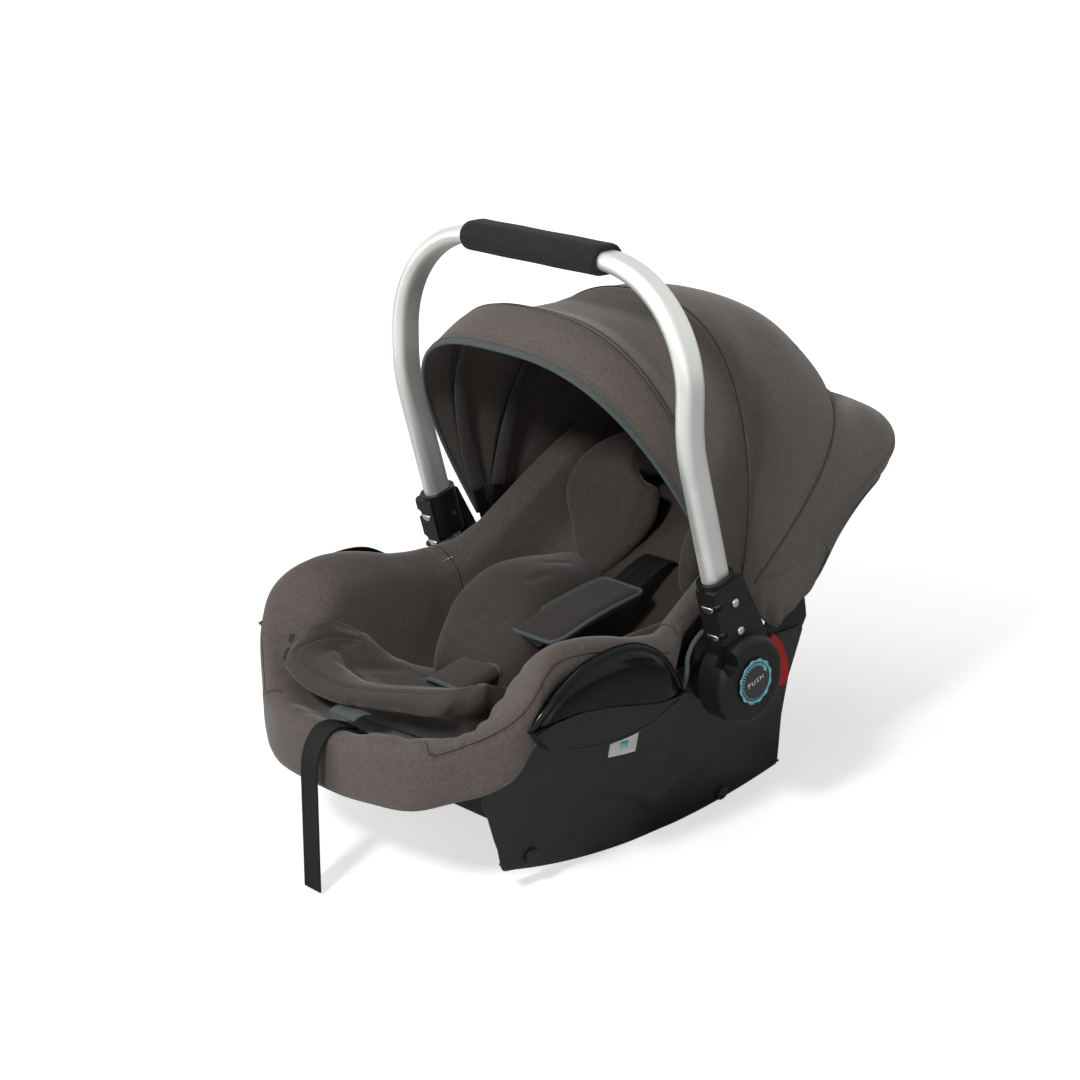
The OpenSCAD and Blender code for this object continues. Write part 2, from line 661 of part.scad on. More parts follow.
// The front bow closes over the middle one.
front_bow_half_w = hood_half_w - fabric_t - 0.5;
mid_bow_half_w = front_bow_half_w - bow_t - 0.8;
bracket_out = mid_bow_half_w - bow_t - 0.6;
bracket_t = 9;

module front_bow() {
    color(plastic_black) bow(-front_bow_angle - 1.4, front_bow_half_w, 290 - fabric_t - seat_gap - 2, 2.5, 0);
}

module mid_bow() {
    color(plastic_black) bow(mid_bow_angle, mid_bow_half_w, 280 - fabric_t - seat_gap - 2.2, 2.5, 0);
}

// The pin that both bows turn on, through the bracket.
module hood_pin(side) {
    color("#8f9396") both(side) translate([0, hood_y, hood_z]) rotate([0, 90, 0]) {
        translate([0, 0, bracket_out - bracket_t]) cylinder(d = hood_pin_d, h = front_bow_half_w + 0.5 - bracket_out + bracket_t, $fn = 48);
        translate([0, 0, front_bow_half_w + 0.3]) cylinder(d = hood_pin_d + 5, h = 1.8, $fn = 48);
    }
}

module hood_bracket(side) {
    hub = [pivot_y, pivot_z];
    pivot = [hood_y, hood_z];
    out = unit(pivot - hub);
    across = [out[1], -out[0]];
    color(plastic_black) both(side) {
        side_plate(bracket_out - bracket_t, bracket_out) difference() {
            union() {
                translate(pivot) circle(r = eye_r + 2, $fn = 64);
                polygon([pivot + across * (eye_r + 2), pivot - across * (eye_r + 2),
                    hub + out * (hub_hole_r - 8) - across * 20, hub + out * (hub_hole_r - 8) + across * 20]);
            }
            translate(hub) circle(r = hub_hole_r + seat_gap, $fn = 96);
            translate(pivot) circle(r = hood_pin_d / 2 + pin_fit, $fn = 48);
        }
    }
}

// ---- padding ------------------------------------------------------------

// The insert across the seat, from foot end to head end: [front to back, underside,
// top, half width, rise of the underside at the edge, rise of the top at the edge].
insert_keys = [[-303, 173, 180, 98, 11, 13], [-300, 171, 184, 107, 14, 14], [-289, 170, 187, 116, 15, 17],
    [-275, 164, 185, 127, 24, 23], [-260, 149, 179, 125, 42, 40], [-245, 136, 173, 123, 56, 51],
    [-225, 130, 167, 123, 60, 56], [-205, 125.5, 161, 124, 53, 52], [-180, 119.5, 155, 123, 33, 37],
    [-160, 115, 151, 118, 18, 16], [-140, 110.5, 147, 110, 8, 4], [-110, 104.5, 141, 102, 3, 0],
    [-80, 101, 136, 99, 2, 0], [-55, 104, 137, 98, 4, 0], [-35, 115, 144, 96, 7, 0],
    [-10, 135, 161, 92, 3, 0], [20, 164, 189, 88, 2, 0], [50, 194, 218, 88, 2, 0],
    [80, 220, 244, 88, 2, 0], [110, 242, 266, 88, 2, 0], [140, 263, 286, 86, 2, 0],
    [170, 282, 303, 80, 2, 0], [182, 293, 305, 72, 2, 0]];

module insert_pad() {
    low = function(k, u) [k[3] * u, k[0], k[1] + k[4] * pow(max(0, abs(u) - 0.6) / 0.4, 2)];
    top = function(k, u) [k[3] * u, k[0], k[2] + k[5] * pow(abs(u), 3) - 4 * pow(abs(u), 12)];
    color(fabric_dark) skin([for (k = insert_keys) concat(
        [for (w = [0:15:180]) low(k, cos(w))], [for (w = [180:-15:0]) top(k, cos(w))])], band = true);
}

module bolster(side) {
    path = [[101.6, -112, 149], [102.6, -96, 158], [103.6, -75, 167.5], [104.6, -47, 177], [105.6, -15, 189],
        [108.6, 12, 202], [109.1, 37, 216], [109.1, 62, 234], [108.1, 85, 250]];
    color(fabric_dark) both(side)
        cushion(path, [5, 13, 17, 17, 15, 11.5, 10.5, 9.5, 7], [4, 12, 24, 33, 27, 17, 12, 8, 5]);
}

module head_hugger() {
    arm = [[77, 45, 223.2], [77, 52, 243.2], [76, 64, 266.2], [76, 88.5, 286.2], [70, 113.5, 303.2],
        [50, 134, 314.2], [18, 147, 319.2]];
    path = concat(arm, [for (i = [len(arm) - 1:-1:0]) [-arm[i][0], arm[i][1], arm[i][2]]]);
    w = [7, 14, 17, 17, 17, 17, 17];
    h = [4, 17, 28, 29, 28, 24, 22];
    color(fabric_dark) cushion(path, concat(w, [for (i = [6:-1:0]) w[i]]), concat(h, [for (i = [6:-1:0]) h[i]]));
}

// ---- harness ------------------------------------------------------------

strap_x = 42;
// Centre line of the shoulder webbing: out of the seat back, through the pad, to its tongue.
upper_strap = [[strap_x, 75.9, 240.8], [strap_x, 72.5, 245], [strap_x, 68, 247], [strap_x, 60, 247.5],
    [strap_x, 46, 243.5], [strap_x, 30, 237]];
pad_path = [[strap_x, 14, 230], [strap_x, -20, 226], [strap_x, -60, 219], [strap_x - 2, -90, 210],
    [strap_x - 6, -106, 204.5]];
lower_strap = [[strap_x - 7, -110, 203]];

module shoulder_strap(side) {
    color(webbing_black) both(side) ribbon(concat(upper_strap, pad_path, lower_strap), strap_w, strap_t);
}

// A padded sleeve folded round the webbing, open along its outer edge.
module shoulder_pad(side) {
    slot = strap_t / 2 + seat_gap;
    fold = strap_w / 2 + 1;
    section = [[pad_w / 2, pad_t / 2], [0, pad_t / 2 + 1], [-pad_w / 2 + 2, pad_t / 2], [-pad_w / 2, 0],
        [-pad_w / 2 + 2, -pad_t / 2], [0, -pad_t / 2 - 1], [pad_w / 2, -pad_t / 2],
        [pad_w / 2, -slot], [0, -slot], [-fold, -slot], [-fold - 0.5, 0], [-fold, slot], [0, slot],
        [pad_w / 2, slot]];
    color(fabric_dark) both(side) skin([for (i = [0:len(pad_path) - 1])
        let (a = pad_path[max(0, i - 1)], b = pad_path[min(len(pad_path) - 1, i + 1)],
             d = unit([b[1] - a[1], b[2] - a[2]]))
        [for (q = section) pad_path[i] + [q[0], 0, 0] + [0, -d[1], d[0]] * q[1]]], band = true);
}

crotch_at = [0, -190, 164.3];
crotch_rise = 11;        // slope of the crotch strap
crotch_len = 54;

module crotch_strap() {
    color(webbing_black) translate(crotch_at) rotate([crotch_rise, 0, 0])
        translate([-strap_w / 2 + 2, 4, 1.4 - strap_t / 2]) cube([strap_w - 4, crotch_len - 4.6, strap_t]);
}

module crotch_pad() {
    color(fabric_dark) translate(crotch_at) rotate([crotch_rise - 90, 0, 0]) linear_extrude(crotch_len) difference() {
        oval(50, 13);
        oval(43, 6.5);
    }
}

buckle_at = [0, -134.6, 170.8];
buckle_tilt = 25;
buckle_t = 14;

module in_buckle() { translate(buckle_at) rotate([buckle_tilt, 0, 0]) children(); }

module buckle() {
    color(plastic_black) in_buckle() difference() {
        translate([0, 0, -buckle_t / 2]) linear_extrude(buckle_t)
            polygon(soften([[-buckle_w / 2 + 6, 0], [buckle_w / 2 - 6, 0],
                [buckle_w / 2, 18], [buckle_w / 2, buckle_len], [-buckle_w / 2, buckle_len], [-buckle_w / 2, 18]], 5));
        translate([-buckle_w / 2 + 3, buckle_len - 16, -2]) cube([buckle_w - 6, 30, 4]);
        translate([-13, buckle_len - 34, buckle_t / 2 - 4]) cube([26, 16, 10]);
    }
}

module buckle_button() {
    color("#c0392b") in_buckle()
        translate([-13 + seat_gap, buckle_len - 34 + seat_gap, buckle_t / 2 - 4 + release_travel + seat_gap])
            linear_extrude(4) square([26 - 2 * seat_gap, 16 - 2 * seat_gap]);
}

module buckle_tongues() {
    color("#9a9da0") in_buckle() for (s = [-1, 1]) scale([s, 1, 1]) {
        translate([1, buckle_len - 15, -1.2]) cube([14, 17, 2.4]);
        translate([1, buckle_len + 1, -1.2]) cube([30, 6, 2.4]);
    }
}

// ---- adjuster -----------------------------------------------------------

pull_x = -10;            // the strap hangs a little off the middle
adjuster_y = 23 - half_len;
adjuster_z = flow(adjuster_y, rim_keys) - 4.82;

module strap_adjuster() {
    color("#2a2b2c") translate([pull_x, adjuster_y, adjuster_z]) rotate([-21, 0, 0]) difference() {
        translate([-20, -8, 0]) cube([40, 18, 3]);
        translate([-pull_w / 2 - 1, -3, -1]) cube([pull_w + 2, 4, 8]);
    }
}

module adjuster_flap() {
    color("#5d6969") ribbon([[pull_x, adjuster_y + 18, adjuster_z + 14.7], [pull_x, adjuster_y + 8, adjuster_z + 17],
        [pull_x, adjuster_y + 2, adjuster_z + 16.8], [pull_x, adjuster_y - 5, adjuster_z + 14.7]],
        pull_w + 14, 1.6);
}

// Centre line of the free strap, from the adjuster over the foot end to the floor.
adjuster_strap_route = [[-10, -296, 154.3], [-10, -304, 157.6], [-10, -312, 160.6], [-10, -322, 161.6],
    [-10, -331, 158.5], [-10, -338, 151.5], [-10, -343, 142], [-10, -346, 131], [-10, -347, 119],
    [-10, -347, 106], [-10, -347, 93], [-10, -347, 80], [-10, -347, 67], [-10, -347, 54],
    [-10, -347, 41], [-10, -347, 28], [-10, -347, 15], [-10, -347, 3]];

module adjuster_strap() {
    color(webbing_black) ribbon(adjuster_strap_route, pull_w, strap_t);
}

// Steel plate behind the shell that joins both shoulder straps to one strap.
yoke_y = 62;
module harness_yoke() {
    z = flow(yoke_y, floor_keys) - shell_wall - 4;
    color("#8d9194") translate([0, yoke_y, z]) rotate([27, 0, 0]) difference() {
        linear_extrude(2.5) polygon(soften([[-30, 0], [30, 0], [46, 26], [-46, 26]], 4));
        for (s = [-1, 1]) translate([s * 24 - 12, 18, -1]) cube([24, 3.5, 6]);
        translate([-14, 5, -1]) cube([28, 3.5, 6]);
    }
}

module rear_webbing() {
    gap = shell_wall + strap_t / 2 + 1;
    color(webbing_black) ribbon([for (y = [-255:20:65])
        [0, y, flow(y, floor_keys) - gap - 4 * ease((y + 100) / 150)]], pull_w, strap_t);
}

seat_shell();
rocker_base();
rocker_feet();
foam_liner();
seat_cover();
insert_pad();
bolster("left");  // bolster_left
bolster("right");  // bolster_right
head_hugger();
hub_base("left");  // hub_base_left
hub_base("right");  // hub_base_right
pivot_bolt("left");  // pivot_bolt_left
pivot_bolt("right");  // pivot_bolt_right
handle_arm("left");  // handle_arm_left
handle_arm("right");  // handle_arm_right
handle_tube();
handle_grip();
handle_rivets();
push_button("left");  // push_button_left
push_button("right");  // push_button_right
belt_guide("left");  // belt_guide_left
belt_guide("right");  // belt_guide_right
guide_lip("left");  // guide_lip_left
guide_lip("right");  // guide_lip_right
belt_hook("left");  // belt_hook_left
belt_hook("right");  // belt_hook_right
hood_bracket("left");  // hood_bracket_left
hood_bracket("right");  // hood_bracket_right
hood_pin("left");  // hood_pin_left
hood_pin("right");  // hood_pin_right
front_bow();
mid_bow();
hood_visor();
hood_front_panel();
hood_rear_panel();
hood_boot();
shoulder_strap("left");  // shoulder_strap_left
shoulder_strap("right");  // shoulder_strap_right
shoulder_pad("left");  // shoulder_pad_left
shoulder_pad("right");  // shoulder_pad_right
crotch_strap();
crotch_pad();
buckle();
buckle_tongues();
buckle_button();
strap_adjuster();
adjuster_flap();
adjuster_strap();
harness_yoke();
rear_webbing();
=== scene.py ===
import math
import bmesh
import bpy
import numpy as np
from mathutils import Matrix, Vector
from mathutils.bvhtree import BVHTree


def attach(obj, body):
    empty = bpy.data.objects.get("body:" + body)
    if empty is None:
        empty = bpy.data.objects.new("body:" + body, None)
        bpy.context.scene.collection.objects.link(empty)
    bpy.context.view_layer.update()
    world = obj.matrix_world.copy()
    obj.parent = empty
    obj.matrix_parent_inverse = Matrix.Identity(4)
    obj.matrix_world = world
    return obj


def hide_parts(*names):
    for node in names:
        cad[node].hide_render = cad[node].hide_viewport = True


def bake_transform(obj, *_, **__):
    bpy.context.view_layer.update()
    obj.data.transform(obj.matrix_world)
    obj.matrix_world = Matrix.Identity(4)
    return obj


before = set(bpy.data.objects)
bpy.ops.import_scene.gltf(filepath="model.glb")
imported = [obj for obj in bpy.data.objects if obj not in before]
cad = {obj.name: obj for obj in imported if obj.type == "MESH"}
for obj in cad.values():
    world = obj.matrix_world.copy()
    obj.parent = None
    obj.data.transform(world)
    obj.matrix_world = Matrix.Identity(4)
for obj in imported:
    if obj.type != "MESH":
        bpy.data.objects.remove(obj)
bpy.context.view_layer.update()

both_sides = ((1, "right"), (-1, "left"))


# ---- Standpoint, floor and lamps ----------------------------------------
# The seat stands on a pale studio floor, turned three quarters on, under a
# hard lamp by the camera, which throws the handle's shadow on the hood, and soft fills.
aim = Vector((0.0, -0.061, 0.286))
turn, tilt, away = math.radians(46.293), math.radians(18.007), 2.29
eye = bpy.data.cameras.new("standpoint")
eye.lens, eye.sensor_width = 77.81, 36.0
camera = bpy.data.objects.new("standpoint", eye)
camera.location = aim + away * Vector((math.sin(turn) * math.cos(tilt),
                                       -math.cos(turn) * math.cos(tilt), math.sin(tilt)))
camera.rotation_euler = (math.pi / 2 - tilt, 0.0, turn)
bpy.context.scene.collection.objects.link(camera)
bpy.context.scene.camera = camera
bpy.context.scene.view_settings.view_transform = "Standard"


def place(tree, kind, feeds=None, **settings):
    """One shader or geometry node, its settings, and what feeds it."""
    n = tree.nodes.new(kind)
    for key, value in settings.items():
        setattr(n, key, value)
    for key, value in (feeds or {}).items():
        if isinstance(value, bpy.types.NodeSocket):
            tree.links.new(value, n.inputs[key])
        else:
            n.inputs[key].default_value = value
    return n


def soft_lamp(name, where, towards, width, height, power, tint=(1, 1, 1)):
    data = bpy.data.lights.new(name, "AREA")
    data.shape, data.size, data.size_y, data.energy, data.color = "RECTANGLE", width, height, power, tint
    lamp = bpy.data.objects.new(name, data)
    lamp.location = where
    lamp.rotation_euler = (Vector(towards) - Vector(where)).to_track_quat("-Z", "Y").to_euler()
    bpy.context.scene.collection.objects.link(lamp)


soft_lamp("key_lamp", (0.75, -2.1, 1.85), (0, 0.0, 0.3), 0.3, 0.3, 40)
soft_lamp("left_lamp", (-1.3, -2.4, 1.4), (0, -0.1, 0.25), 1.4, 1.0, 9)
soft_lamp("top_lamp", (0.2, -0.5, 2.6), (0, 0.0, 0.4), 1.5, 1.5, 12)
soft_lamp("side_lamp", (2.4, -0.9, 0.9), (0.1, -0.1, 0.2), 0.9, 1.2, 5)
soft_lamp("foot_lamp", (-1.7, -1.9, 0.5), (0, -0.25, 0.12), 1.2, 0.9, 9)

world = bpy.data.worlds.new("pale_room")
world.use_nodes = True
bpy.context.scene.world = world
air = world.node_tree
air.nodes.clear()
ray = place(air, "ShaderNodeLightPath")
seen = place(air, "ShaderNodeMath",
             {0: ray.outputs["Is Camera Ray"], 1: ray.outputs["Is Transmission Ray"]},
             operation="MAXIMUM")
fill = place(air, "ShaderNodeBackground", {"Color": (1, 1, 1, 1), "Strength": 0.12})
bright = place(air, "ShaderNodeBackground", {"Color": (1, 1, 1, 1), "Strength": 1.0})
glossy = place(air, "ShaderNodeBackground", {"Color": (1, 1, 1, 1), "Strength": 0.85})
gloss_mix = place(air, "ShaderNodeMixShader",
                  {0: ray.outputs["Is Glossy Ray"], 1: fill.outputs[0], 2: glossy.outputs[0]})
air_mix = place(air, "ShaderNodeMixShader",
                {0: seen.outputs[0], 1: gloss_mix.outputs[0], 2: bright.outputs[0]})
place(air, "ShaderNodeOutputWorld", {"Surface": air_mix.outputs[0]})

floor_mesh = bpy.data.meshes.new("floor")
floor_mesh.from_pydata([(-9, -9, -0.0005), (9, -9, -0.0005), (9, 9, -0.0005), (-9, 9, -0.0005)], [],
                       [(0, 1, 2, 3)])
floor = bpy.data.objects.new("floor", floor_mesh)
bpy.context.scene.collection.objects.link(floor)
pale = bpy.data.materials.new("pale_floor")
pale.use_nodes = True
pale.node_tree.nodes.clear()
pt = pale.node_tree
pray = place(pt, "ShaderNodeLightPath")
matt_floor = place(pt, "ShaderNodeBsdfDiffuse", {"Color": (0.8, 0.8, 0.8, 1)})
lit_floor = place(pt, "ShaderNodeEmission",
                  {"Color": (1, 1, 1, 1), "Strength": pray.outputs["Is Camera Ray"]})
how_far = place(pt, "ShaderNodeVectorMath", {0: place(pt, "ShaderNodeTexCoord").outputs["Object"]},
                operation="LENGTH")
outer_glow = place(pt, "ShaderNodeMapRange", {"Value": how_far.outputs["Value"], "From Min": 0.5,
                                              "From Max": 1.7, "To Min": 0.64,
                                              "To Max": 1.1})
dimmed = place(pt, "ShaderNodeMath", {0: pray.outputs["Is Camera Ray"], 1: outer_glow.outputs[0]},
               operation="MULTIPLY")
pt.links.new(dimmed.outputs[0], lit_floor.inputs["Strength"])
both_floor = place(pt, "ShaderNodeAddShader", {0: matt_floor.outputs[0], 1: lit_floor.outputs[0]})
place(pt, "ShaderNodeOutputMaterial", {"Surface": both_floor.outputs[0]})
floor_mesh.materials.append(pale)


# ---- Adjuster strap ------------------------------------------------------
# A free end of 24 mm herringbone webbing. It leaves the adjuster under the
# insert's lip, passes over the padded foot end and hangs down to the floor.
strap_route = [(-10, -296, 154.3), (-10, -304, 157.6), (-10, -312, 160.6), (-10, -322, 161.6),
               (-10, -331, 158.5), (-10, -338, 151.5), (-10, -343, 142), (-10, -346, 131),
               (-10, -347, 119), (-10, -347, 106), (-10, -347, 93), (-10, -347, 80), (-10, -347, 67),
               (-10, -347, 54), (-10, -347, 41), (-10, -347, 28), (-10, -347, 15), (-10, -347, 3)]


def tone(code, alpha=1.0):
    """A colour code as linear light."""
    v = [int(code[i:i + 2], 16) / 255 for i in (1, 3, 5)]
    return tuple(c / 12.92 if c <= 0.04045 else ((c + 0.055) / 1.055) ** 2.4 for c in v) + (alpha,)


def new_group(name, takes, gives):
    """An empty shader group with numbers going in and numbers coming out."""
    g = bpy.data.node_groups.new(name, "ShaderNodeTree")
    for key, value in takes.items():
        s = g.interface.new_socket(key, in_out="INPUT", socket_type="NodeSocketFloat")
        s.default_value = value
    for key in gives:
        g.interface.new_socket(key, in_out="OUTPUT", socket_type="NodeSocketFloat")
    return g, place(g, "NodeGroupInput"), place(g, "NodeGroupOutput")


def maths(tree, kind, a, b=0.0, c=0.0):
    n = place(tree, "ShaderNodeMath", {0: a, 1: b}, operation=kind)
    if kind in ("MULTIPLY_ADD", "SMOOTH_MIN", "COMPARE"):
        if isinstance(c, bpy.types.NodeSocket):
            tree.links.new(c, n.inputs[2])
        else:
            n.inputs[2].default_value = c
    return n.outputs[0]


def own_place(tree):
    """Where a point lies on its piece, in metres."""
    return place(tree, "ShaderNodeTexCoord").outputs["Object"]


def noise(tree, at, scale, detail=2.0, roughness=0.5):
    feeds = {"Vector": at, "Scale": scale, "Detail": detail, "Roughness": roughness}
    return place(tree, "ShaderNodeTexNoise", feeds).outputs[0]


def ranged(tree, value, low, high, to_low=0.0, to_high=1.0):
    """A value carried from the range low to high over to another range."""
    feeds = {"Value": value, "From Min": low, "From Max": high, "To Min": to_low, "To Max": to_high}
    return place(tree, "ShaderNodeMapRange", feeds).outputs[0]


# Herringbone: rows of yarn that slant one way, then the other, across the tape.
full_turn = 6.2832
herring, h_in, h_out = new_group("herringbone_webbing", {"Rows": 420.0, "Zigzag": 0.006},
                                 ("Height", "Shade"))
h_uv = place(herring, "ShaderNodeSeparateXYZ", {0: place(herring, "ShaderNodeTexCoord").outputs["UV"]})
zig = maths(herring, "PINGPONG", h_uv.outputs[0], h_in.outputs["Zigzag"])
slant = maths(herring, "ADD", h_uv.outputs[1], maths(herring, "MULTIPLY", zig, 1.1))
h_turns = maths(herring, "MULTIPLY", h_in.outputs["Rows"], full_turn)
rows_h = maths(herring, "SINE", maths(herring, "MULTIPLY", slant, h_turns))
herring.links.new(maths(herring, "MULTIPLY_ADD", rows_h, 0.5, 0.5), h_out.inputs["Height"])
worn = noise(herring, own_place(herring), 38.0, 4.0)
# The shade share is partly painted shade: the yarn rows' own relief is painted into the colour, lighter
# on the ridges and darker in the grooves. Random worn patches are added on top.
herring.links.new(maths(herring, "MULTIPLY_ADD", rows_h, 0.28, worn), h_out.inputs["Shade"])


def finish_nodes(name, rough, **plain):
    """A material with one shader, whose colour and bump are still to be fed."""
    m = bpy.data.materials.new(name)
    m.use_nodes = True
    t = m.node_tree
    t.nodes.clear()
    skin = place(t, "ShaderNodeBsdfPrincipled", {"Roughness": rough})
    place(t, "ShaderNodeOutputMaterial", {"Surface": skin.outputs[0]})
    for key, value in plain.items():
        skin.inputs[key.replace("_", " ")].default_value = value
    return m, t, skin


def tinted(tree, skin, share, dark, light):
    """Colours a shader between two tones by a share from 0 to 1."""
    between = place(tree, "ShaderNodeMix", {0: share, 6: dark, 7: light}, data_type="RGBA")
    tree.links.new(between.outputs[2], skin.inputs["Base Color"])


def bumped(tree, skin, strength, depth, height):
    """Gives a shader a relief from a height, its depth in metres."""
    relief = place(tree, "ShaderNodeBump", {"Strength": strength, "Distance": depth, "Height": height})
    tree.links.new(relief.outputs[0], skin.inputs["Normal"])


def web_finish(name, dark, light, rows=420.0, zigzag=0.006):
    m, t, skin = finish_nodes(name, 0.7, Specular_IOR_Level=0.22)
    g = place(t, "ShaderNodeGroup", node_tree=herring)
    g.inputs["Rows"].default_value, g.inputs["Zigzag"].default_value = rows, zigzag
    tinted(t, skin, g.outputs["Shade"], dark, light)
    bumped(t, skin, 0.55, 0.0006, g.outputs["Height"])
    return m


black_webbing = web_finish("black_webbing", tone("#070707"), tone("#1b1b1c"))


def lay(name, points, faces, finishes, uvs=None, face_finish=None):
    """A mesh piece from points in millimetres, its place in its mesh."""
    points = np.asarray(points, float).reshape(-1, 3) / 1000.0
    mesh = bpy.data.meshes.new(name)
    mesh.from_pydata(points.tolist(), [], [list(map(int, f)) for f in faces])
    mesh.polygons.foreach_set("use_smooth", [True] * len(mesh.polygons))
    if uvs is not None:
        loops = np.zeros(len(mesh.loops), int)
        mesh.loops.foreach_get("vertex_index", loops)
        mesh.uv_layers.new(name="cloth").data.foreach_set("uv", (np.asarray(uvs, float)[loops]).ravel())
    for f in (finishes if isinstance(finishes, (list, tuple)) else [finishes]):
        mesh.materials.append(f)
    if face_finish is not None:
        mesh.polygons.foreach_set("material_index", list(map(int, face_finish)))
    mesh.validate()
    piece = bpy.data.objects.new(name, mesh)
    bpy.context.scene.collection.objects.link(piece)
    return piece


def run_of(line):
    """How far along a line of points each of them lies."""
    return np.concatenate([[0], np.cumsum(np.linalg.norm(np.diff(line, axis=0), axis=1))])


def heading(line):
    """The direction of a line at each of its points."""
    d = np.gradient(line, axis=0)
    return d / np.linalg.norm(d, axis=1)[:, None]


def bend(start, end, start_slope, end_slope, h, u):
    """The smooth curve from start to end over a stretch h, at u from 0 to 1 along it."""
    return (start * (2 * u**3 - 3 * u**2 + 1) + start_slope * h * (u**3 - 2 * u**2 + u)
            + end * (3 * u**2 - 2 * u**3) + end_slope * h * (u**3 - u**2))


def smooth_line(points, count):
    """Points evenly along a smooth curve through a few given ones."""
    p = np.asarray(points, float)
    knots = run_of(p)
    slope = np.empty_like(p)
    slope[1:-1] = (p[2:] - p[:-2]) / (knots[2:] - knots[:-2])[:, None]
    slope[0] = (p[1] - p[0]) / (knots[1] - knots[0])
    slope[-1] = (p[-1] - p[-2]) / (knots[-1] - knots[-2])
    at = np.linspace(0, knots[-1], count)
    i = np.clip(np.searchsorted(knots, at, "right") - 1, 0, len(p) - 2)
    h = (knots[i + 1] - knots[i])[:, None]
    u = (at - knots[i])[:, None] / h
    return bend(p[i], p[i + 1], slope[i], slope[i + 1], h, u)


def wrap_faces(rows, n, start=0):
    """Quads round and along a stack of rings with n points each."""
    out = []
    for k in range(rows - 1):
        for i in range(n):
            a, b = start + k * n + i, start + k * n + (i + 1) % n
            out.append((a, b, b + n, a + n))
    return out


def capped(rows, n):
    """The faces of a stack of rings with a flat face over each end."""
    return wrap_faces(rows, n) + [tuple(range(n))[::-1], tuple(range((rows - 1) * n, rows * n))]


def looped(rows, n):
    """The faces of a stack of rings whose last one is joined to the first, as a sleeve."""
    last = (rows - 1) * n
    return wrap_faces(rows, n) + [(last + i, last + (i + 1) % n, (i + 1) % n, i) for i in range(n)]


def flat_strap(name, route, width, thick, finish, steps, across=(1, 0, 0), curl=0.0):
    """Flat webbing along a route, with rounded selvedges and closed ends."""
    line = smooth_line(route, steps)
    d = heading(line)
    side = np.asarray(across, float) - d * (d @ np.asarray(across, float))[:, None]
    side /= np.linalg.norm(side, axis=1)[:, None]
    up = np.cross(side, d)
    run = run_of(line)
    half, t = width / 2, thick / 2
    cross = [(-half, 0), (-half + 0.35, t * 0.8), (-half + 1.6, t), (-half + 2.4, t * 0.82),
             (0, t * 0.86),
             (half - 2.4, t * 0.82), (half - 1.6, t), (half - 0.35, t * 0.8), (half, 0)]
    cross += [(x, -z) for x, z in cross[-2:0:-1]]
    n = len(cross)
    pts, uv = [], []
    for k in range(steps):
        for x, z in cross:
            pts.append(line[k] + side[k] * x + up[k] * (z + curl * (x / half) ** 2))
            uv.append((x / 1000, run[k] / 1000))
    return lay(name, pts, capped(steps, n), finish, uv), line


adjuster_web, strap_line = flat_strap("adjuster_web", strap_route, 24, 2.0, black_webbing, 70)
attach(adjuster_web, "seat")
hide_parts("adjuster_strap")


# ---- Seat shell ----------------------------------------------------------
# One deep injection-moulded tub with a fine spark-eroded grain. It shows from
# below and round the rim behind the cover's hem.

# Mould grain: small rounded bumps, with a slow change of gloss over them.
grain, g_in, g_out = new_group("mould_grain", {"Size": 900.0, "Patch": 14.0}, ("Height", "Gloss"))
g_at = own_place(grain)
g_cell = place(grain, "ShaderNodeTexVoronoi", {"Vector": g_at, "Scale": g_in.outputs["Size"]},
               feature="SMOOTH_F1")
g_fine = maths(grain, "MULTIPLY", noise(grain, g_at, g_in.outputs["Size"]), 0.3)
grain.links.new(maths(grain, "MULTIPLY_ADD", g_cell.outputs["Distance"], 0.7, g_fine),
                g_out.inputs["Height"])
grain.links.new(noise(grain, g_at, g_in.outputs["Patch"], 5.0, 0.6), g_out.inputs["Gloss"])

# Handling: faint rub marks and settled dust, stronger in streaks.
rub, r_in, r_out = new_group("handling_rub", {"Scale": 22.0, "Amount": 0.5}, ("Mask",))
r_map = place(rub, "ShaderNodeMapping", {"Vector": own_place(rub), "Scale": (1.0, 2.4, 0.7)})
r_streak = noise(rub, r_map.outputs[0], r_in.outputs["Scale"], 7.0, 0.72)
r_cut = ranged(rub, r_streak, 0.52, 0.78)
rub.links.new(maths(rub, "MULTIPLY", r_cut, r_in.outputs["Amount"]), r_out.inputs["Mask"])


def plastic_finish(name, dark, light, low, high, size=900.0, bump=0.12, rub_amount=0.5, **plain):
    m, t, skin = finish_nodes(name, 0.5, **plain)
    g = place(t, "ShaderNodeGroup", node_tree=grain)
    g.inputs["Size"].default_value = size
    w = place(t, "ShaderNodeGroup", node_tree=rub)
    w.inputs["Amount"].default_value = rub_amount
    tinted(t, skin, w.outputs[0], dark, light)
    dusty = maths(t, "MULTIPLY_ADD", w.outputs[0], 0.12,
                  ranged(t, g.outputs["Gloss"], 0.3, 0.7, low, high))
    t.links.new(dusty, skin.inputs["Roughness"])
    bumped(t, skin, bump, 0.0003, g.outputs["Height"])
    return m


def dress(nodes, finish):
    """Gives a CAD node its finish, in every slot that it has."""
    for n in nodes:
        for s in cad[n].material_slots:
            s.material = finish
        if not cad[n].material_slots:
            cad[n].data.materials.append(finish)


shell_black = plastic_finish("shell_black", tone("#101112"), tone("#262625"), 0.42, 0.56, 1100.0,
                             Specular_IOR_Level=0.3)
dress(["seat_shell"], shell_black)


def mix(a, b, t):
    return a + (b - a) * t


def ease(t):
    u = np.clip(t, 0.0, 1.0)
    return u * u * (3 - 2 * u)


def spow(v, e):
    return np.sign(v) * np.abs(v) ** e


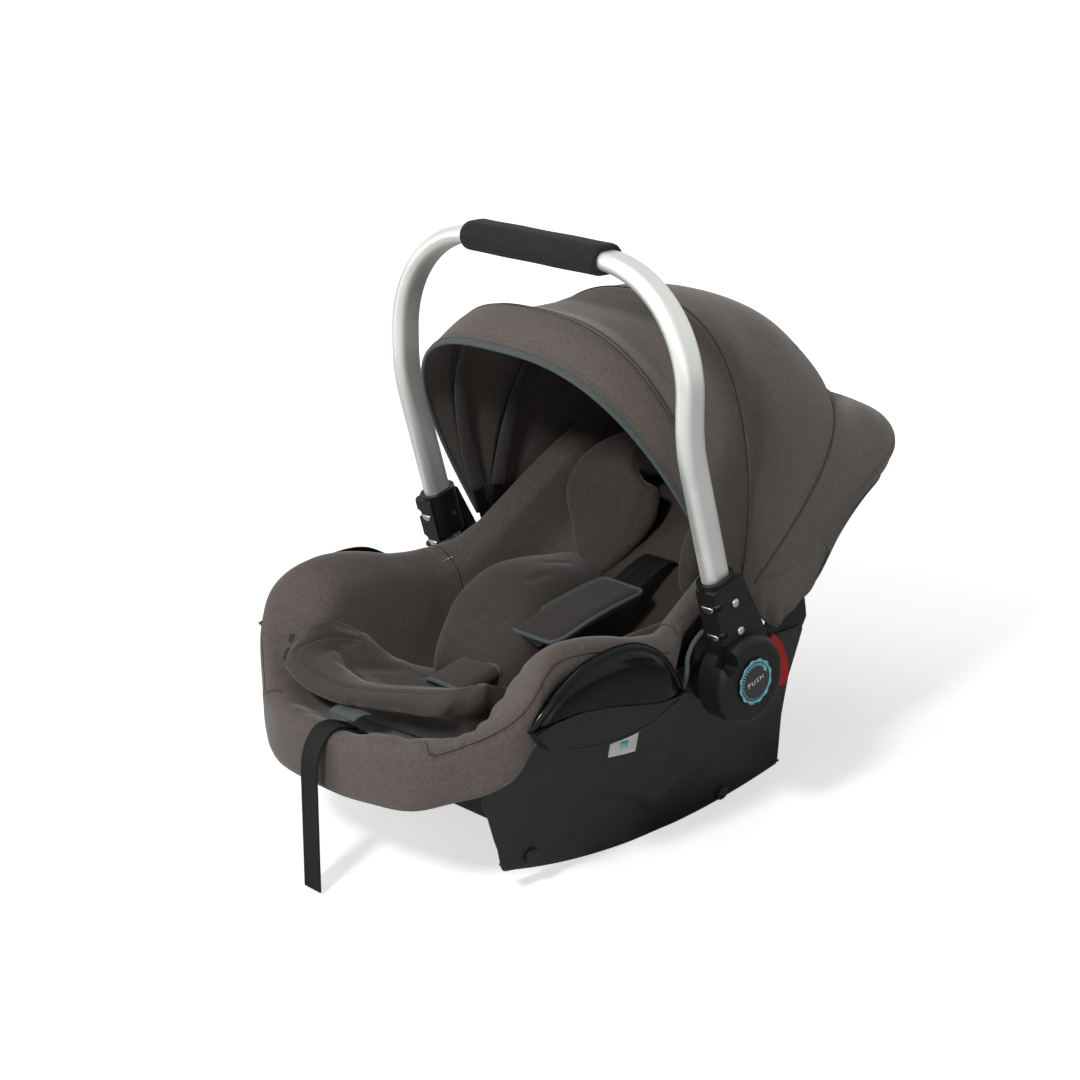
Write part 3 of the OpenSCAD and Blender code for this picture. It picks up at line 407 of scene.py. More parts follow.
def flow(y, keys):
    """A smooth height along the seat through a few [place, height] keys."""
    k = np.asarray(keys, float)
    y = np.asarray(y, float)
    a, b = np.maximum(np.arange(len(k)) - 1, 0), np.minimum(np.arange(len(k)) + 1, len(k) - 1)
    slope = (k[b, 1] - k[a, 1]) / (k[b, 0] - k[a, 0])
    i = np.clip(np.searchsorted(k[:, 0], y, "right") - 1, 0, len(k) - 2)
    h = k[i + 1, 0] - k[i, 0]
    t = np.clip((y - k[i, 0]) / h, 0, 1)
    return bend(k[i, 1], k[i + 1, 1], slope[i], slope[i + 1], h, t)


half_len, plan_power, shell_wall = 325.0, 3.5, 4.0
front_half_w, rear_half_w = 176.0, 158.0
rim_keys = [(-330, 146), (-300, 158), (-262, 196), (-225, 228), (-180, 238), (-140, 236),
            (-100, 226), (-67, 222), (-30, 232), (5, 250), (63, 285), (122, 318), (152, 332),
            (220, 352), (290, 356), (335, 342)]
floor_keys = [(-330, 124), (-250, 103), (-200, 88), (-150, 76), (-100, 68), (-50, 66),
              (0, 80), (50, 105), (100, 132), (150, 160), (200, 190), (250, 220), (300, 246), (335, 258)]
seat_keys = [(-330, 146), (-290, 141), (-250, 133), (-200, 123), (-140, 109), (-85, 99),
             (-45, 103), (0, 141), (40, 183), (75, 214), (120, 247), (160, 273), (200, 298),
             (250, 318), (300, 330), (335, 334)]
lining_slope = [(0.985, 0.06), (0.965, 0.16), (0.94, 0.35), (0.91, 0.6), (0.87, 0.8),
                (0.8, 0.93), (0.7, 1), (0.55, 1), (0.42, 1), (0.3, 1), (0.18, 1), (0.05, 1)]


def half_w_at(y):
    return mix(rear_half_w, front_half_w, ease((-10 - y) / 70))


def bowl_ring(around, grow, slope, keys, floor_dz=0.0, rim_dz=0.0):
    """One ring of the tub: grow is its distance outside the shell's outer face."""
    c, s = spow(np.cos(around), 2 / plan_power), spow(np.sin(around), 2 / plan_power)
    rim_y = half_len * s
    y = (half_len + grow) * slope[0] * s
    x = (half_w_at(rim_y) + grow) * slope[0] * c
    z = mix(flow(rim_y, rim_keys) + rim_dz, flow(y, keys) + floor_dz, slope[1])
    return np.stack([x, y, z], 1)


# ---- Rocker --------------------------------------------------------------
# Two leaning side panels with a rolled rocking edge, joined by ribs. A soft
# raised wedge stiffens each panel, and four rubber feet stop the rocking.
rocker_black = plastic_finish("rocker_black", tone("#111211"), tone("#21221f"), 0.38, 0.5, 1300.0, 0.07,
                              0.35, Specular_IOR_Level=0.32)
dress(["rocker_base", "hub_base_left", "hub_base_right", "hood_bracket_left", "hood_bracket_right"],
      rocker_black)
panel_lean = math.radians(16.7)
runner_half_w = 120.0


def on_panel(out, y, up, side):
    """A place given out of a side panel's plane, along it and up it."""
    return (side * (runner_half_w + out * math.cos(panel_lean) + up * math.sin(panel_lean)), y,
            -out * math.sin(panel_lean) + up * math.cos(panel_lean))


def facet_height(y, up):
    """How far the raised wedge stands out: proud along its two low sides, dying out at the top."""
    def inside(p, q):
        along = np.array([q[0] - p[0], q[1] - p[1]], float)
        along /= np.linalg.norm(along)
        return along[0] * (up - p[1]) - along[1] * (y - p[0])
    deep = min(inside((-210, 170), (-37, 34)), inside((-37, 34), (59, 106)))
    fade = (1 - 0.9 * ease((up - 70) / 110)) * (1 - 0.35 * ease((deep - 8) / 60))
    return 6.2 * ease((deep + 2) / 11) * fade


rocker_r, rocker_mid_y, half_rest_flat, rest_rise = 700.0, -20.0, 30.0, 0.64


def rocking_edge(y):
    """The height of the rocking edge: an arc with a short flat in its middle to stand on."""
    if abs(y - rocker_mid_y) <= half_rest_flat:
        return 0.0
    return rocker_r - rest_rise - np.sqrt(rocker_r**2 - (y - rocker_mid_y) ** 2)


def turned_out(piece):
    """Makes a closed piece's faces point outwards."""
    bm = bmesh.new()
    bm.from_mesh(piece.data)
    bmesh.ops.recalc_face_normals(bm, faces=bm.faces)
    bm.to_mesh(piece.data)
    bm.free()
    piece.data.polygons.foreach_set("use_smooth", [True] * len(piece.data.polygons))


def thin_sheet(name, outer, inner, finish, **more):
    """A thin closed sheet between two grids of places, its face and its back."""
    outer, inner = np.asarray(outer, float), np.asarray(inner, float)
    rows, n = outer.shape[:2]
    half = rows * n
    rim = list(range(n)) + [i * n + n - 1 for i in range(1, rows)]
    rim += [half - 1 - k for k in range(1, n)] + [i * n for i in range(rows - 2, 0, -1)]
    faces = []
    for i in range(rows - 1):
        for k in range(n - 1):
            q = (i * n + k, (i + 1) * n + k, (i + 1) * n + k + 1, i * n + k + 1)
            faces += [q, tuple(half + v for v in q[::-1])]
    faces += [(a, b, half + b, half + a) for a, b in zip(rim, rim[1:] + rim[:1])]
    piece = lay(name, np.concatenate([outer, inner]), faces, finish, **more)
    turned_out(piece)
    return piece


panel_foot = [(-283, 128.5), (-277, 116), (-268, 101), (-261, 88), (-252, 71), (-244, 57.5),
              (-238.5, 45), (-234, 35.5), (-231.5, 31),
              (-227, 28.8), (-221, 27.8), (-214, 26.3), (-203, 23.6)]
panel_head = [(-283, 130), (-278, 139), (-270, 152), (-262, 164), (-250, 171), (-78, 171), (-66, 181),
              (-54, 197),
              (128, 197), (130.4, 186), (130.6, 141), (139.5, 90), (162.6, 11)]
panel_columns = np.concatenate([np.linspace(-283, -226, 34, endpoint=False),
                                np.linspace(-226, 126, 128, endpoint=False),
                                np.linspace(126, 162.6, 32)])
panel_foot_y, panel_head_y, panel_points = -283.0, 163.0, 56
for side, tag in both_sides:
    outer, inner = [], []
    for y in panel_columns:
        foot = max(rocking_edge(y) + 0.4, 10.9 - 0.8 * (162.6 - y))
        if y < panel_foot[-1][0]:
            foot = np.interp(y, *zip(*panel_foot))
        low = foot / math.cos(panel_lean)
        top = max(np.interp(y, *zip(*panel_head)) / math.cos(panel_lean), low + 0.6)
        face, back = [], []
        for up in np.linspace(low, top, panel_points):
            edge = min(up - low, y - panel_foot_y, panel_head_y - y, (top - up) + (0 if y > 120 else 20))
            out = 0.4 + facet_height(y, up) * ease(edge / 10) - 1.4 * (1 - ease((edge + 0.5) / 3.2))
            face.append(on_panel(max(out, -0.6), y, up, side))
            back.append(on_panel(-2.6, y, up, side))
        outer.append(face)
        inner.append(back)
    skin_piece = thin_sheet("panel_wedge_" + tag, outer, inner, rocker_black)
    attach(skin_piece, "seat")
    # the tub's own side shows behind the hub, rising under the hood's boot
    outer, inner = [], []
    for y in np.linspace(58, 136, 40):
        low = np.interp(y, (58, 126, 136), (188, 188, 204))
        top = max(np.interp(y, (58, 74, 88, 108, 134, 136), (200, 208, 224, 236, 241, 236)), low + 1)
        z = np.linspace(low, top, 20)
        x = np.minimum(runner_half_w + z * math.tan(panel_lean) - 0.7, 177.5) - 5 * ease((z - 200) / 40)
        outer.append(np.stack([side * x, np.full(20, y), z], 1))
        inner.append(np.stack([side * (x - 2.5), np.full(20, y), z], 1))
    flank = thin_sheet("tub_flank_" + tag, outer, inner, shell_black)
    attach(flank, "seat")


# Feet: round rubber knobs pushed through the panel, with a domed face.
foot_rubber = plastic_finish("foot_rubber", tone("#141414"), tone("#2b2b2a"), 0.6, 0.75, 700.0, 0.1, 0.5)


def turned(profile, sides, to_world):
    """A lathe-turned shell: [radius, height] pairs about its own axis, closed at both ends."""
    pts = [(0, 0, profile[0][1])]
    for r, h in profile:
        pts += [(r * math.cos(2 * math.pi * i / sides), r * math.sin(2 * math.pi * i / sides), h)
                for i in range(sides)]
    pts.append((0, 0, profile[-1][1]))
    faces = [(0, 1 + (i + 1) % sides, 1 + i) for i in range(sides)]
    faces += wrap_faces(len(profile), sides, start=1)
    base = 1 + (len(profile) - 1) * sides
    faces += [(base + i, base + (i + 1) % sides, len(pts) - 1) for i in range(sides)]
    pts = [to_world(*p) for p in pts]
    a, b, c, far = (np.array(pts[k], float) for k in (0, 1, 2, -1))
    if np.cross(b - a, c - a) @ (a - far) < 0:
        faces = [f[::-1] for f in faces]
    return pts, faces


def joined(name, parts, finish, **more):
    """Several [points, faces] shells as one piece."""
    pts, faces = [], []
    for p, f in parts:
        faces += [tuple(len(pts) + v for v in q) for q in f]
        pts += list(p)
    return lay(name, pts, faces, finish, **more)


foot_shells = []
for side in (1, -1):
    for fy, fup in ((-198, 39), (75, 16)):
        foot_shells.append(turned(
            [(7.4, 0.32), (8.0, 0.8), (8.0, 2.0), (7.6, 2.9), (6.4, 3.7), (4.2, 4.3), (1.6, 4.55)], 36,
            lambda a, b, h: on_panel(h, fy + a, fup + b, side)))
feet = joined("rubber_feet", foot_shells, foot_rubber)
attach(feet, "seat")
dress(["rocker_feet"], foot_rubber)


# ---- Foam liner ----------------------------------------------------------
# Moulded bead foam between the shell and the cover. Its edge is hidden.
bead_foam, bt, bskin = finish_nodes("bead_foam", 0.85)
bead_cells = place(bt, "ShaderNodeTexVoronoi", {"Vector": own_place(bt), "Scale": 260.0})
tinted(bt, bskin, bead_cells.outputs["Distance"], tone("#e4e3de"), tone("#bdbcb6"))
bumped(bt, bskin, 0.4, 0.0008, bead_cells.outputs["Distance"])
dress(["foam_liner"], bead_foam)


# ---- Cover ---------------------------------------------------------------
# A padded cover of fine warm-grey cloth, sewn from panels, that lines the tub,
# rolls over its rim and ends in a thick hem outside, held by elastic.

# Plain weave with a little slub: crossing yarns in three directions, so that
# it stays even however the cloth turns.
weave, w_in, w_out = new_group("cloth_weave", {"Yarns": 900.0, "Slub": 240.0, "Mottle": 9.0},
                               ("Height", "Shade", "Broad"))
w_at = own_place(weave)
w_xyz = place(weave, "ShaderNodeSeparateXYZ", {0: w_at})
w_turns = maths(weave, "MULTIPLY", w_in.outputs["Yarns"], full_turn)
w_s = [maths(weave, "SINE", maths(weave, "MULTIPLY", w_xyz.outputs[i], w_turns)) for i in range(3)]
w_cross = maths(weave, "ADD", maths(weave, "MULTIPLY", w_s[0], w_s[1]),
                maths(weave, "MULTIPLY_ADD", w_s[1], w_s[2], maths(weave, "MULTIPLY", w_s[2], w_s[0])))
weave.links.new(maths(weave, "MULTIPLY_ADD", w_cross, 0.25, 0.5), w_out.inputs["Height"])
weave.links.new(noise(weave, w_at, w_in.outputs["Slub"], 6.0, 0.75), w_out.inputs["Shade"])
weave.links.new(noise(weave, w_at, w_in.outputs["Mottle"], 3.0), w_out.inputs["Broad"])


def cloth_finish(name, dark, light, yarns=900.0, slub=260.0, mottle=9.0, rough=0.86, bump=0.3,
                 sheen=0.22):
    m, t, skin = finish_nodes(name, rough, Sheen_Weight=sheen, Sheen_Roughness=0.45)
    g = place(t, "ShaderNodeGroup", node_tree=weave)
    g.inputs["Yarns"].default_value, g.inputs["Slub"].default_value = yarns, slub
    g.inputs["Mottle"].default_value = mottle
    fine = maths(t, "MULTIPLY", ranged(t, g.outputs["Shade"], 0.32, 0.68), 0.65)
    broad = maths(t, "MULTIPLY_ADD", g.outputs["Broad"], 0.35, fine)
    tinted(t, skin, broad, dark, light)
    high = maths(t, "MULTIPLY_ADD", g.outputs["Shade"], 1.1, g.outputs["Height"])
    bumped(t, skin, bump, 0.0004, high)
    return m


cover_cloth = cloth_finish("cover_cloth", tone("#433c38"), tone("#625954"))
seam_thread = cloth_finish("seam_thread", tone("#241f1d"), tone("#3a3330"), 1500.0, 900.0, bump=0.15)
binding_tape = cloth_finish("binding_tape", tone("#353f3f"), tone("#566363"), 1500.0, 700.0, bump=0.45,
                            sheen=0.1)


def grid_normals(p, wrap):
    """Outward normals of a grid of points, rows along, columns round."""
    du = np.gradient(p, axis=0)
    dv = (np.roll(p, -1, 1) - np.roll(p, 1, 1)) if wrap else np.gradient(p, axis=1)
    n = np.cross(du, dv)
    size = np.linalg.norm(n, axis=2, keepdims=True)
    return n / np.maximum(size, 1e-9)


def through_rings(rings, steps):
    """Finer rings along a smooth curve through a few given ones."""
    r = np.stack(rings)
    gap = np.linalg.norm(np.diff(r, axis=0), axis=2).mean(axis=1)
    knots = np.concatenate([[0], np.cumsum(np.maximum(gap, 1e-3))])
    slope = np.empty_like(r)
    slope[1:-1] = (r[2:] - r[:-2]) / (knots[2:] - knots[:-2])[:, None, None]
    slope[0] = (r[1] - r[0]) / (knots[1] - knots[0])
    slope[-1] = (r[-1] - r[-2]) / (knots[-1] - knots[-2])
    out = []
    for k in range(len(r) - 1):
        h = knots[k + 1] - knots[k]
        count = max(1, int(round(h / steps)))
        for j in range(count):
            out.append(bend(r[k], r[k + 1], slope[k], slope[k + 1], h, j / count))
    out.append(r[-1])
    return np.stack(out)


def near_line(p, line):
    """Distance of every point to a line of points, and how far along it lies, 0 to 1."""
    q = p.reshape(-1, 3)
    best, where = np.full(len(q), 1e9), np.zeros(len(q))
    line = np.asarray(line, float)
    run = run_of(line)
    low, high = line.min(0) - 30, line.max(0) + 30
    close = np.where(((q > low) & (q < high)).all(1))[0]
    c = q[close]
    b, w = best[close], where[close]
    for k in range(len(line) - 1):
        a, d = line[k], line[k + 1] - line[k]
        t = np.clip(((c - a) @ d) / max(d @ d, 1e-9), 0, 1)
        e = np.linalg.norm(c - a - t[:, None] * d, axis=1)
        m = e < b
        b[m], w[m] = e[m], (run[k] + t[m] * (run[k + 1] - run[k])) / run[-1]
    best[close], where[close] = b, w
    return best.reshape(p.shape[:-1]), where.reshape(p.shape[:-1])


def pressed(p, normals, lines):
    """Presses grooves in or lifts folds along lines: [points, width, height, taper]."""
    lift = np.zeros(p.shape[:-1])
    for line, width, height, taper in lines:
        d, at = near_line(p, line)
        fade = np.clip(4 * at * (1 - at), 0, 1) ** 0.5 if taper else 1.0
        lift += height * np.exp(-(d / width) ** 2) * fade
    return p + normals * lift[..., None]


cover_columns = 360
around = np.linspace(0, 2 * math.pi, cover_columns, endpoint=False)
foam_t, cover_t, flap_t, rim_pad = 12.0, 8.0, 6.0, 10.0
hem_keys = [(-345, 100), (-300, 112), (-262, 146), (-235, 176), (-80, 178), (-62, 186),
            (-48, 206), (-36, 222), (-20, 228), (5, 240), (63, 273), (122, 306), (152, 320),
            (220, 340), (290, 344), (345, 330)]
flap_in = runner_half_w + 198 * math.tan(panel_lean) + 0.6 - front_half_w


def flap_ring(front_grow, rear_grow, dz, hem):
    """A ring on the outside of the rim: hem is its share of the way down to the hem."""
    c, s = spow(np.cos(around), 2 / plan_power), spow(np.sin(around), 2 / plan_power)
    rim_y = half_len * s
    grow = mix(rear_grow, front_grow, ease((-20 - rim_y) / 60))
    y = (half_len + np.minimum(grow, 8)) * s
    x = (half_w_at(rim_y) + grow) * c
    return np.stack([x, y, mix(flow(rim_y, rim_keys) + dz, flow(rim_y, hem_keys), hem)], 1)


lining = [bowl_ring(around, -shell_wall - foam_t - cover_t, k, seat_keys) for k in lining_slope[::-1]]
rim = [bowl_ring(around, -shell_wall - foam_t / 2, (1, 0), seat_keys, 0, rim_pad - 1),
       flap_ring(1, -2, rim_pad, 0)]
flap = [flap_ring(flap_in + flap_t - 3, 2, 5, 0), flap_ring(flap_in + flap_t, 4, -4, 0),
        flap_ring(flap_in + flap_t + 1.5, 4, -6, 0.5), flap_ring(flap_in + flap_t, 3.6, -2, 0.93)]
under = [flap_ring(flap_in + flap_t - 3, 2, 0, 1.03), flap_ring(flap_in + 0.4, 0.6, -1, 0.95),
         flap_ring(flap_in + 0.2, 0.5, -6, 0.5)]
cover_rings = through_rings(lining + rim + flap + under, 5.0)
cover_n = grid_normals(cover_rings, True)
if (cover_n[:, :, 2] * (np.arange(len(cover_rings)) < 20)[:, None]).sum() < 0:
    cover_n = -cover_n


def cover_point(angle, ring):
    """The place on the cover at an angle round it (0 is +X, -90 is the foot end) and a ring number."""
    a, r = math.degrees(angle) % 360, min(max(ring, 0), len(cover_rings) - 1.001)
    i, k = int(a), int(r)
    row = [mix(cover_rings[q, i % 360], cover_rings[q, (i + 1) % 360], a - i) for q in (k, k + 1)]
    return mix(row[0], row[1], r - k)


# Ring numbers of the crown of the rim and of the hem's lower edge.
ring_z = cover_rings[:, 0, 2]
crown = int(np.argmax(ring_z))
hem_row = len(cover_rings) - 14
swell_map = sum(a * np.sin(np.arange(len(cover_rings))[:, None] * kr + around * ka + ph)
                for a, kr, ka, ph in ((0.35, 0.13, 5, 0.4), (0.3, 0.21, 9, 2.1), (0.22, 0.34, 14, 4.0),
                                      (0.18, 0.09, 21, 1.0)))
# The rim is fatter along its front half, where the legs rest, and the flap bellies out at
# the front corners.
ring_of = np.arange(len(cover_rings))[:, None]
side_x, at_y, at_z = cover_rings[..., 0], cover_rings[..., 1], cover_rings[..., 2]
leg_y, front_corner_y, dip_y, foot_y = -228, -262, -74, -306
front_half = np.exp(-((at_y - leg_y) / 72) ** 2) * ease((np.abs(side_x) - 55) / 70)
on_crown = ease((at_z - 178) / 45)
outside = ease((ring_of - crown + 8) / 12.0)
plump = cover_rings + cover_n * (swell_map + 1.3 * (1 - outside))[..., None]
dip = np.exp(-((at_y - dip_y) / 34) ** 2) * np.exp(-((ring_of - crown) / 14.0) ** 2)
plump += cover_n * (3.2 * dip)[..., None]
plump[..., 2] += 15.0 * front_half * on_crown * np.exp(-((ring_of - crown - 3) / 16.0) ** 2)
plump[..., 0] += np.sign(side_x) * 9.0 * front_half * on_crown * outside
corner = np.exp(-((at_y - front_corner_y) / 34) ** 2) * ease((np.abs(side_x) - 80) / 50)
corner *= outside * ease((at_z - 105) / 25)
plump[..., 0] += np.sign(side_x) * 25.0 * corner
# behind the corner its lower part stays in close to the seat
held_in = ease((at_y + 247) / 8) * ease((256 - at_z) / 8)
reach = mix(400.0, 190.0, held_in ** 0.05 * (held_in > 0))
plump[..., 0] = np.sign(side_x) * np.minimum(np.abs(plump[..., 0]), reach)
near_front = ease((side_x - 4) / 60) * np.exp(-((at_y - foot_y) / 34) ** 2)
plump[..., 2] += 13.0 * near_front * np.exp(-((ring_of - crown + 2) / 14.0) ** 2)
cover_rings = plump


def side_line(ring_from, ring_to, angle_from, angle_to, count=24):
    """A line over the cover between two places, given by ring number and angle."""
    out = []
    for t in np.linspace(0, 1, count):
        r = ring_from + (ring_to - ring_from) * t
        a = math.radians(angle_from + (angle_to - angle_from) * t)
        out.append(cover_point(a, r))
    return np.array(out)


def deg(a, s):
    """An angle round the cover's near side, or its mirror image on the far side."""
    return a if s > 0 else 180 - a


seams, folds = [], []
for s in (1, -1):
    # the side panel's seam along the rim's crown, from the front corner to the hub
    seams.append(side_line(crown + 3, crown + 3, deg(-62, s), deg(-4, s), 60))
    # the front corner seam, from the hem up over the rim and down inside
    seams.append(side_line(hem_row, crown + 3, deg(-66, s), deg(-62, s), 40))
    # the seat side's seam, down from the rim behind the legs
    seams.append(side_line(crown + 2, crown - 30, deg(-2.4, s), deg(-1.2, s), 40))
    # the head panel's seam along the side behind the pivots
    seams.append(side_line(crown + 3, crown + 3, deg(2, s), deg(88, s), 90))
grooves = [(line, 3.2, -2.8, False) for line in seams]
puffs = [(line, 13.0, 1.3, False) for line in seams[:3] + seams[4:7]]
for s in (1, -1):
    # pulls where the hem is drawn in ahead of the belt guide
    for a, w, h, drop in ((-52, 4.5, 3.2, 12), (-47, 5, 3.6, 13), (-42, 4.5, 2.8, 9), (-57, 5, 2.6, 9),
                          (-37, 5, 2.0, 8),
                          (-74, 7, 1.4, 6), (-82, 7, 1.2, 5)):
        folds.append((side_line(hem_row + 1, hem_row - drop, deg(a, s), deg(a + 2, s), 12), w, -h, True))
    # soft slack where the rim dips
    for a0, a1, w, h in ((-20, -8, 8, -1.6), (-13, -3, 6, 1.2), (-30, -17, 9, 1.2)):
        folds.append((side_line(crown - 3, crown - 13, deg(a0, s), deg(a1, s), 16), w, h, True))
    # creases down the inner wall beside the legs
    for a0, a1, w, h in ((-48, -40, 9, -0.9), (-36, -31, 8, -0.8), (-57, -51, 8, 1.2)):
        folds.append((side_line(crown - 6, crown - 26, deg(a0, s), deg(a1, s), 16), w, h, True))
cover_shape = pressed(cover_rings, cover_n, puffs + folds + grooves)
inner_skin = [bowl_ring(around, -shell_wall - foam_t + 0.2, k, seat_keys, -cover_t) for k in lining_slope]
close_rings = np.concatenate([cover_shape, np.stack(
    [flap_ring(0.6, 0.5, 0.3, 0)] + [bowl_ring(around, -shell_wall - 0.6, (0.997, 0.01), seat_keys, 0,
                                               0.3)] + inner_skin)])
seat_cover = lay("padded_cover", close_rings, capped(len(close_rings), cover_columns), cover_cloth)
turned_out(seat_cover)
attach(seat_cover, "seat")
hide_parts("seat_cover")


def surface_of(piece):
    """A search tree over a piece, in millimetres."""
    verts = [v.co * 1000 for v in piece.data.vertices]
    return BVHTree.FromPolygons(verts, [tuple(p.vertices) for p in piece.data.polygons])


def laid_on(tree, line, lift, count=None):
    """A line brought down onto a piece and lifted off it a little."""
    line = smooth_line(line, count) if count else np.asarray(line, float)
    out = []
    for p in line:
        hit, normal, _, _ = tree.find_nearest(Vector(p))
        out.append(np.array(hit + normal * lift))
    return np.array(out)


def new_grower(name, sizes, finish):
    """An empty geometry tree: a shape, its sizes and its finish go in, a shape comes out."""
    g = bpy.data.node_groups.new(name, "GeometryNodeTree")
    g.interface.new_socket("Geometry", in_out="INPUT", socket_type="NodeSocketGeometry")
    for key, value in sizes.items():
        g.interface.new_socket(key, in_out="INPUT", socket_type="NodeSocketFloat").default_value = value
    g.interface.new_socket(finish, in_out="INPUT", socket_type="NodeSocketMaterial")
    g.interface.new_socket("Geometry", in_out="OUTPUT", socket_type="NodeSocketGeometry")
    return g, place(g, "NodeGroupInput")


# Stitches: short thread bars laid end to end along a line, each thinner at its ends.
stitcher, si = new_grower("row_of_stitches", {"Spacing": 0.0034, "Length": 0.0025, "Thickness": 0.00038},
                          "Thread")
s_even = place(stitcher, "GeometryNodeResampleCurve",
               {"Curve": si.outputs["Geometry"], "Length": si.outputs["Spacing"]}, mode="LENGTH")
s_ball = place(stitcher, "GeometryNodeMeshUVSphere", {"Segments": 6, "Rings": 5, "Radius": 0.5})
s_size = place(stitcher, "ShaderNodeCombineXYZ", {0: si.outputs["Thickness"], 1: si.outputs["Thickness"],
                                                  2: si.outputs["Length"]})
s_bar = place(stitcher, "GeometryNodeTransform",
              {"Geometry": s_ball.outputs[0], "Scale": s_size.outputs[0]})
s_turn = place(stitcher, "FunctionNodeAlignRotationToVector",
               {"Vector": place(stitcher, "GeometryNodeInputTangent").outputs[0]}, axis="Z")
s_set = place(stitcher, "GeometryNodeInstanceOnPoints",
              {"Points": s_even.outputs[0], "Instance": s_bar.outputs[0],
                                                        "Rotation": s_turn.outputs[0]})
s_real = place(stitcher, "GeometryNodeRealizeInstances", {0: s_set.outputs[0]})
s_mat = place(stitcher, "GeometryNodeSetMaterial",
              {"Geometry": s_real.outputs[0], "Material": si.outputs["Thread"]})
place(stitcher, "NodeGroupOutput", {0: s_mat.outputs[0]})


def grown(name, source, tree, body, slot, **sizes):
    """Runs a geometry tree on a source object and keeps its result as one plain piece."""
    mod = source.modifiers.new("grow", "NODES")
    mod.node_group = tree
    for item in tree.interface.items_tree:
        if item.in_out == "INPUT" and item.name in sizes:
            mod[item.identifier] = sizes[item.name]
    bpy.context.view_layer.update()
    seen_now = source.evaluated_get(bpy.context.evaluated_depsgraph_get())
    mesh = bpy.data.meshes.new_from_object(seen_now)
    source.modifiers.remove(mod)
    bpy.data.objects.remove(source)
    mesh.polygons.foreach_set("use_smooth", [True] * len(mesh.polygons))
    piece = bpy.data.objects.new(name, mesh)
    bpy.context.scene.collection.objects.link(piece)
    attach(piece, body)
    return piece


def thread_lines(name, lines):
    """Lines in millimetres as one many-stranded curve for the stitcher."""
    data = bpy.data.curves.new(name, "CURVE")
    data.dimensions = "3D"
    for line in lines:
        strand = data.splines.new("POLY")
        strand.points.add(len(line) - 1)
        strand.points.foreach_set("co", np.c_[np.asarray(line) / 1000, np.ones(len(line))].ravel())
    piece = bpy.data.objects.new(name, data)
    bpy.context.scene.collection.objects.link(piece)
    return piece


def cord_line(name, lines, radius, finish, flat=1.0, sides=8):
    """Round or flattened piping along lines, each closed at both ends."""
    parts = []
    for line in lines:
        line = np.asarray(line, float)
        d = np.gradient(line, axis=0)
        d /= np.maximum(np.linalg.norm(d, axis=1), 1e-9)[:, None]
        up = np.array([0.0, 0.0, 1.0]) if abs(d[0][2]) < 0.8 else np.array([0.0, 1.0, 0.0])
        pts = []
        for k in range(len(line)):
            side = np.cross(d[k], up)
            side /= max(np.linalg.norm(side), 1e-9)
            up = np.cross(side, d[k])
            for i in range(sides):
                a = 2 * math.pi * i / sides
                pts.append(line[k] + radius * (side * math.cos(a) + up * math.sin(a) * flat))
        faces = [f[::-1] for f in capped(len(line), sides)]
        parts.append((pts, faces))
    piece = joined(name, parts, finish)
    turned_out(piece)
    return piece


cover_tree = surface_of(seat_cover)
seam_rows = [laid_on(cover_tree, line, 0.45, max(24, len(line) * 2)) for line in seams]
twin_rows = []
for line in seams:
    base = smooth_line(line, 60)
    out = []
    for p, t in zip(base, heading(base)):
        hit, normal, _, _ = cover_tree.find_nearest(Vector(p))
        side = Vector(t).cross(normal).normalized()
        hit2, normal2, _, _ = cover_tree.find_nearest(hit + side * 3.4)
        out.append(np.array(hit2 + normal2 * 0.05))
    twin_rows.append(np.array(out))
cover_cord = cord_line("cover_seams", seam_rows, 0.75, seam_thread, sides=6)
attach(cover_cord, "seat")
grown("cover_stitches", thread_lines("cover_threads", twin_rows), stitcher, "seat", "cover_fabric",
      Thread=seam_thread)

# The flap's cut-out round each pivot is bound with the same tape.
for s, tag in both_sides:
    around_hub = [(s * x, y, z) for x, y, z in ((184, -10, 232), (185, -20, 231.5), (185.5, -29, 229.5),
                                                (186, -40, 222), (186.5, -47, 210), (186.5, -48, 194),
                                                (186, -53, 181), (184, -60, 171), (181, -64, 163))]
    bound = cord_line("pivot_binding_" + tag, [smooth_line(around_hub, 60)], 2.2, binding_tape, 1.0,
                      sides=10)
    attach(bound, "seat")

# A woven label folded into the hem under each guide, and a blank care label
# stitched flat inside, behind the head support.
label_white = cloth_finish("label_white", tone("#c9cbca"), tone("#eceeed"), 2200.0, 1600.0, bump=0.1,
                           sheen=0.0)
label_blue = cloth_finish("label_blue", tone("#6fb9cf"), tone("#93d2e2"), 2200.0, 1600.0, bump=0.1,
                          sheen=0.0)


def label_plate(name, grid, thick, finish):
    """A thin label over a grid of places, closed round its edge."""
    g = np.asarray(grid, float)
    away = np.cross(g[-1, 0] - g[0, 0], g[0, -1] - g[0, 0])
    piece = thin_sheet(name, g, g - thick * away / np.linalg.norm(away), finish)
    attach(piece, "seat")


def spread_between(a, b, c, d, rows, n):
    """Places across the quadrilateral a b c d."""
    u, v = np.meshgrid(np.linspace(0, 1, n), np.linspace(0, 1, rows))
    shares = ((1 - u) * (1 - v), u * (1 - v), u * v, (1 - u) * v)
    return sum(share[..., None] * np.asarray(p, float) for share, p in zip(shares, (a, b, c, d)))


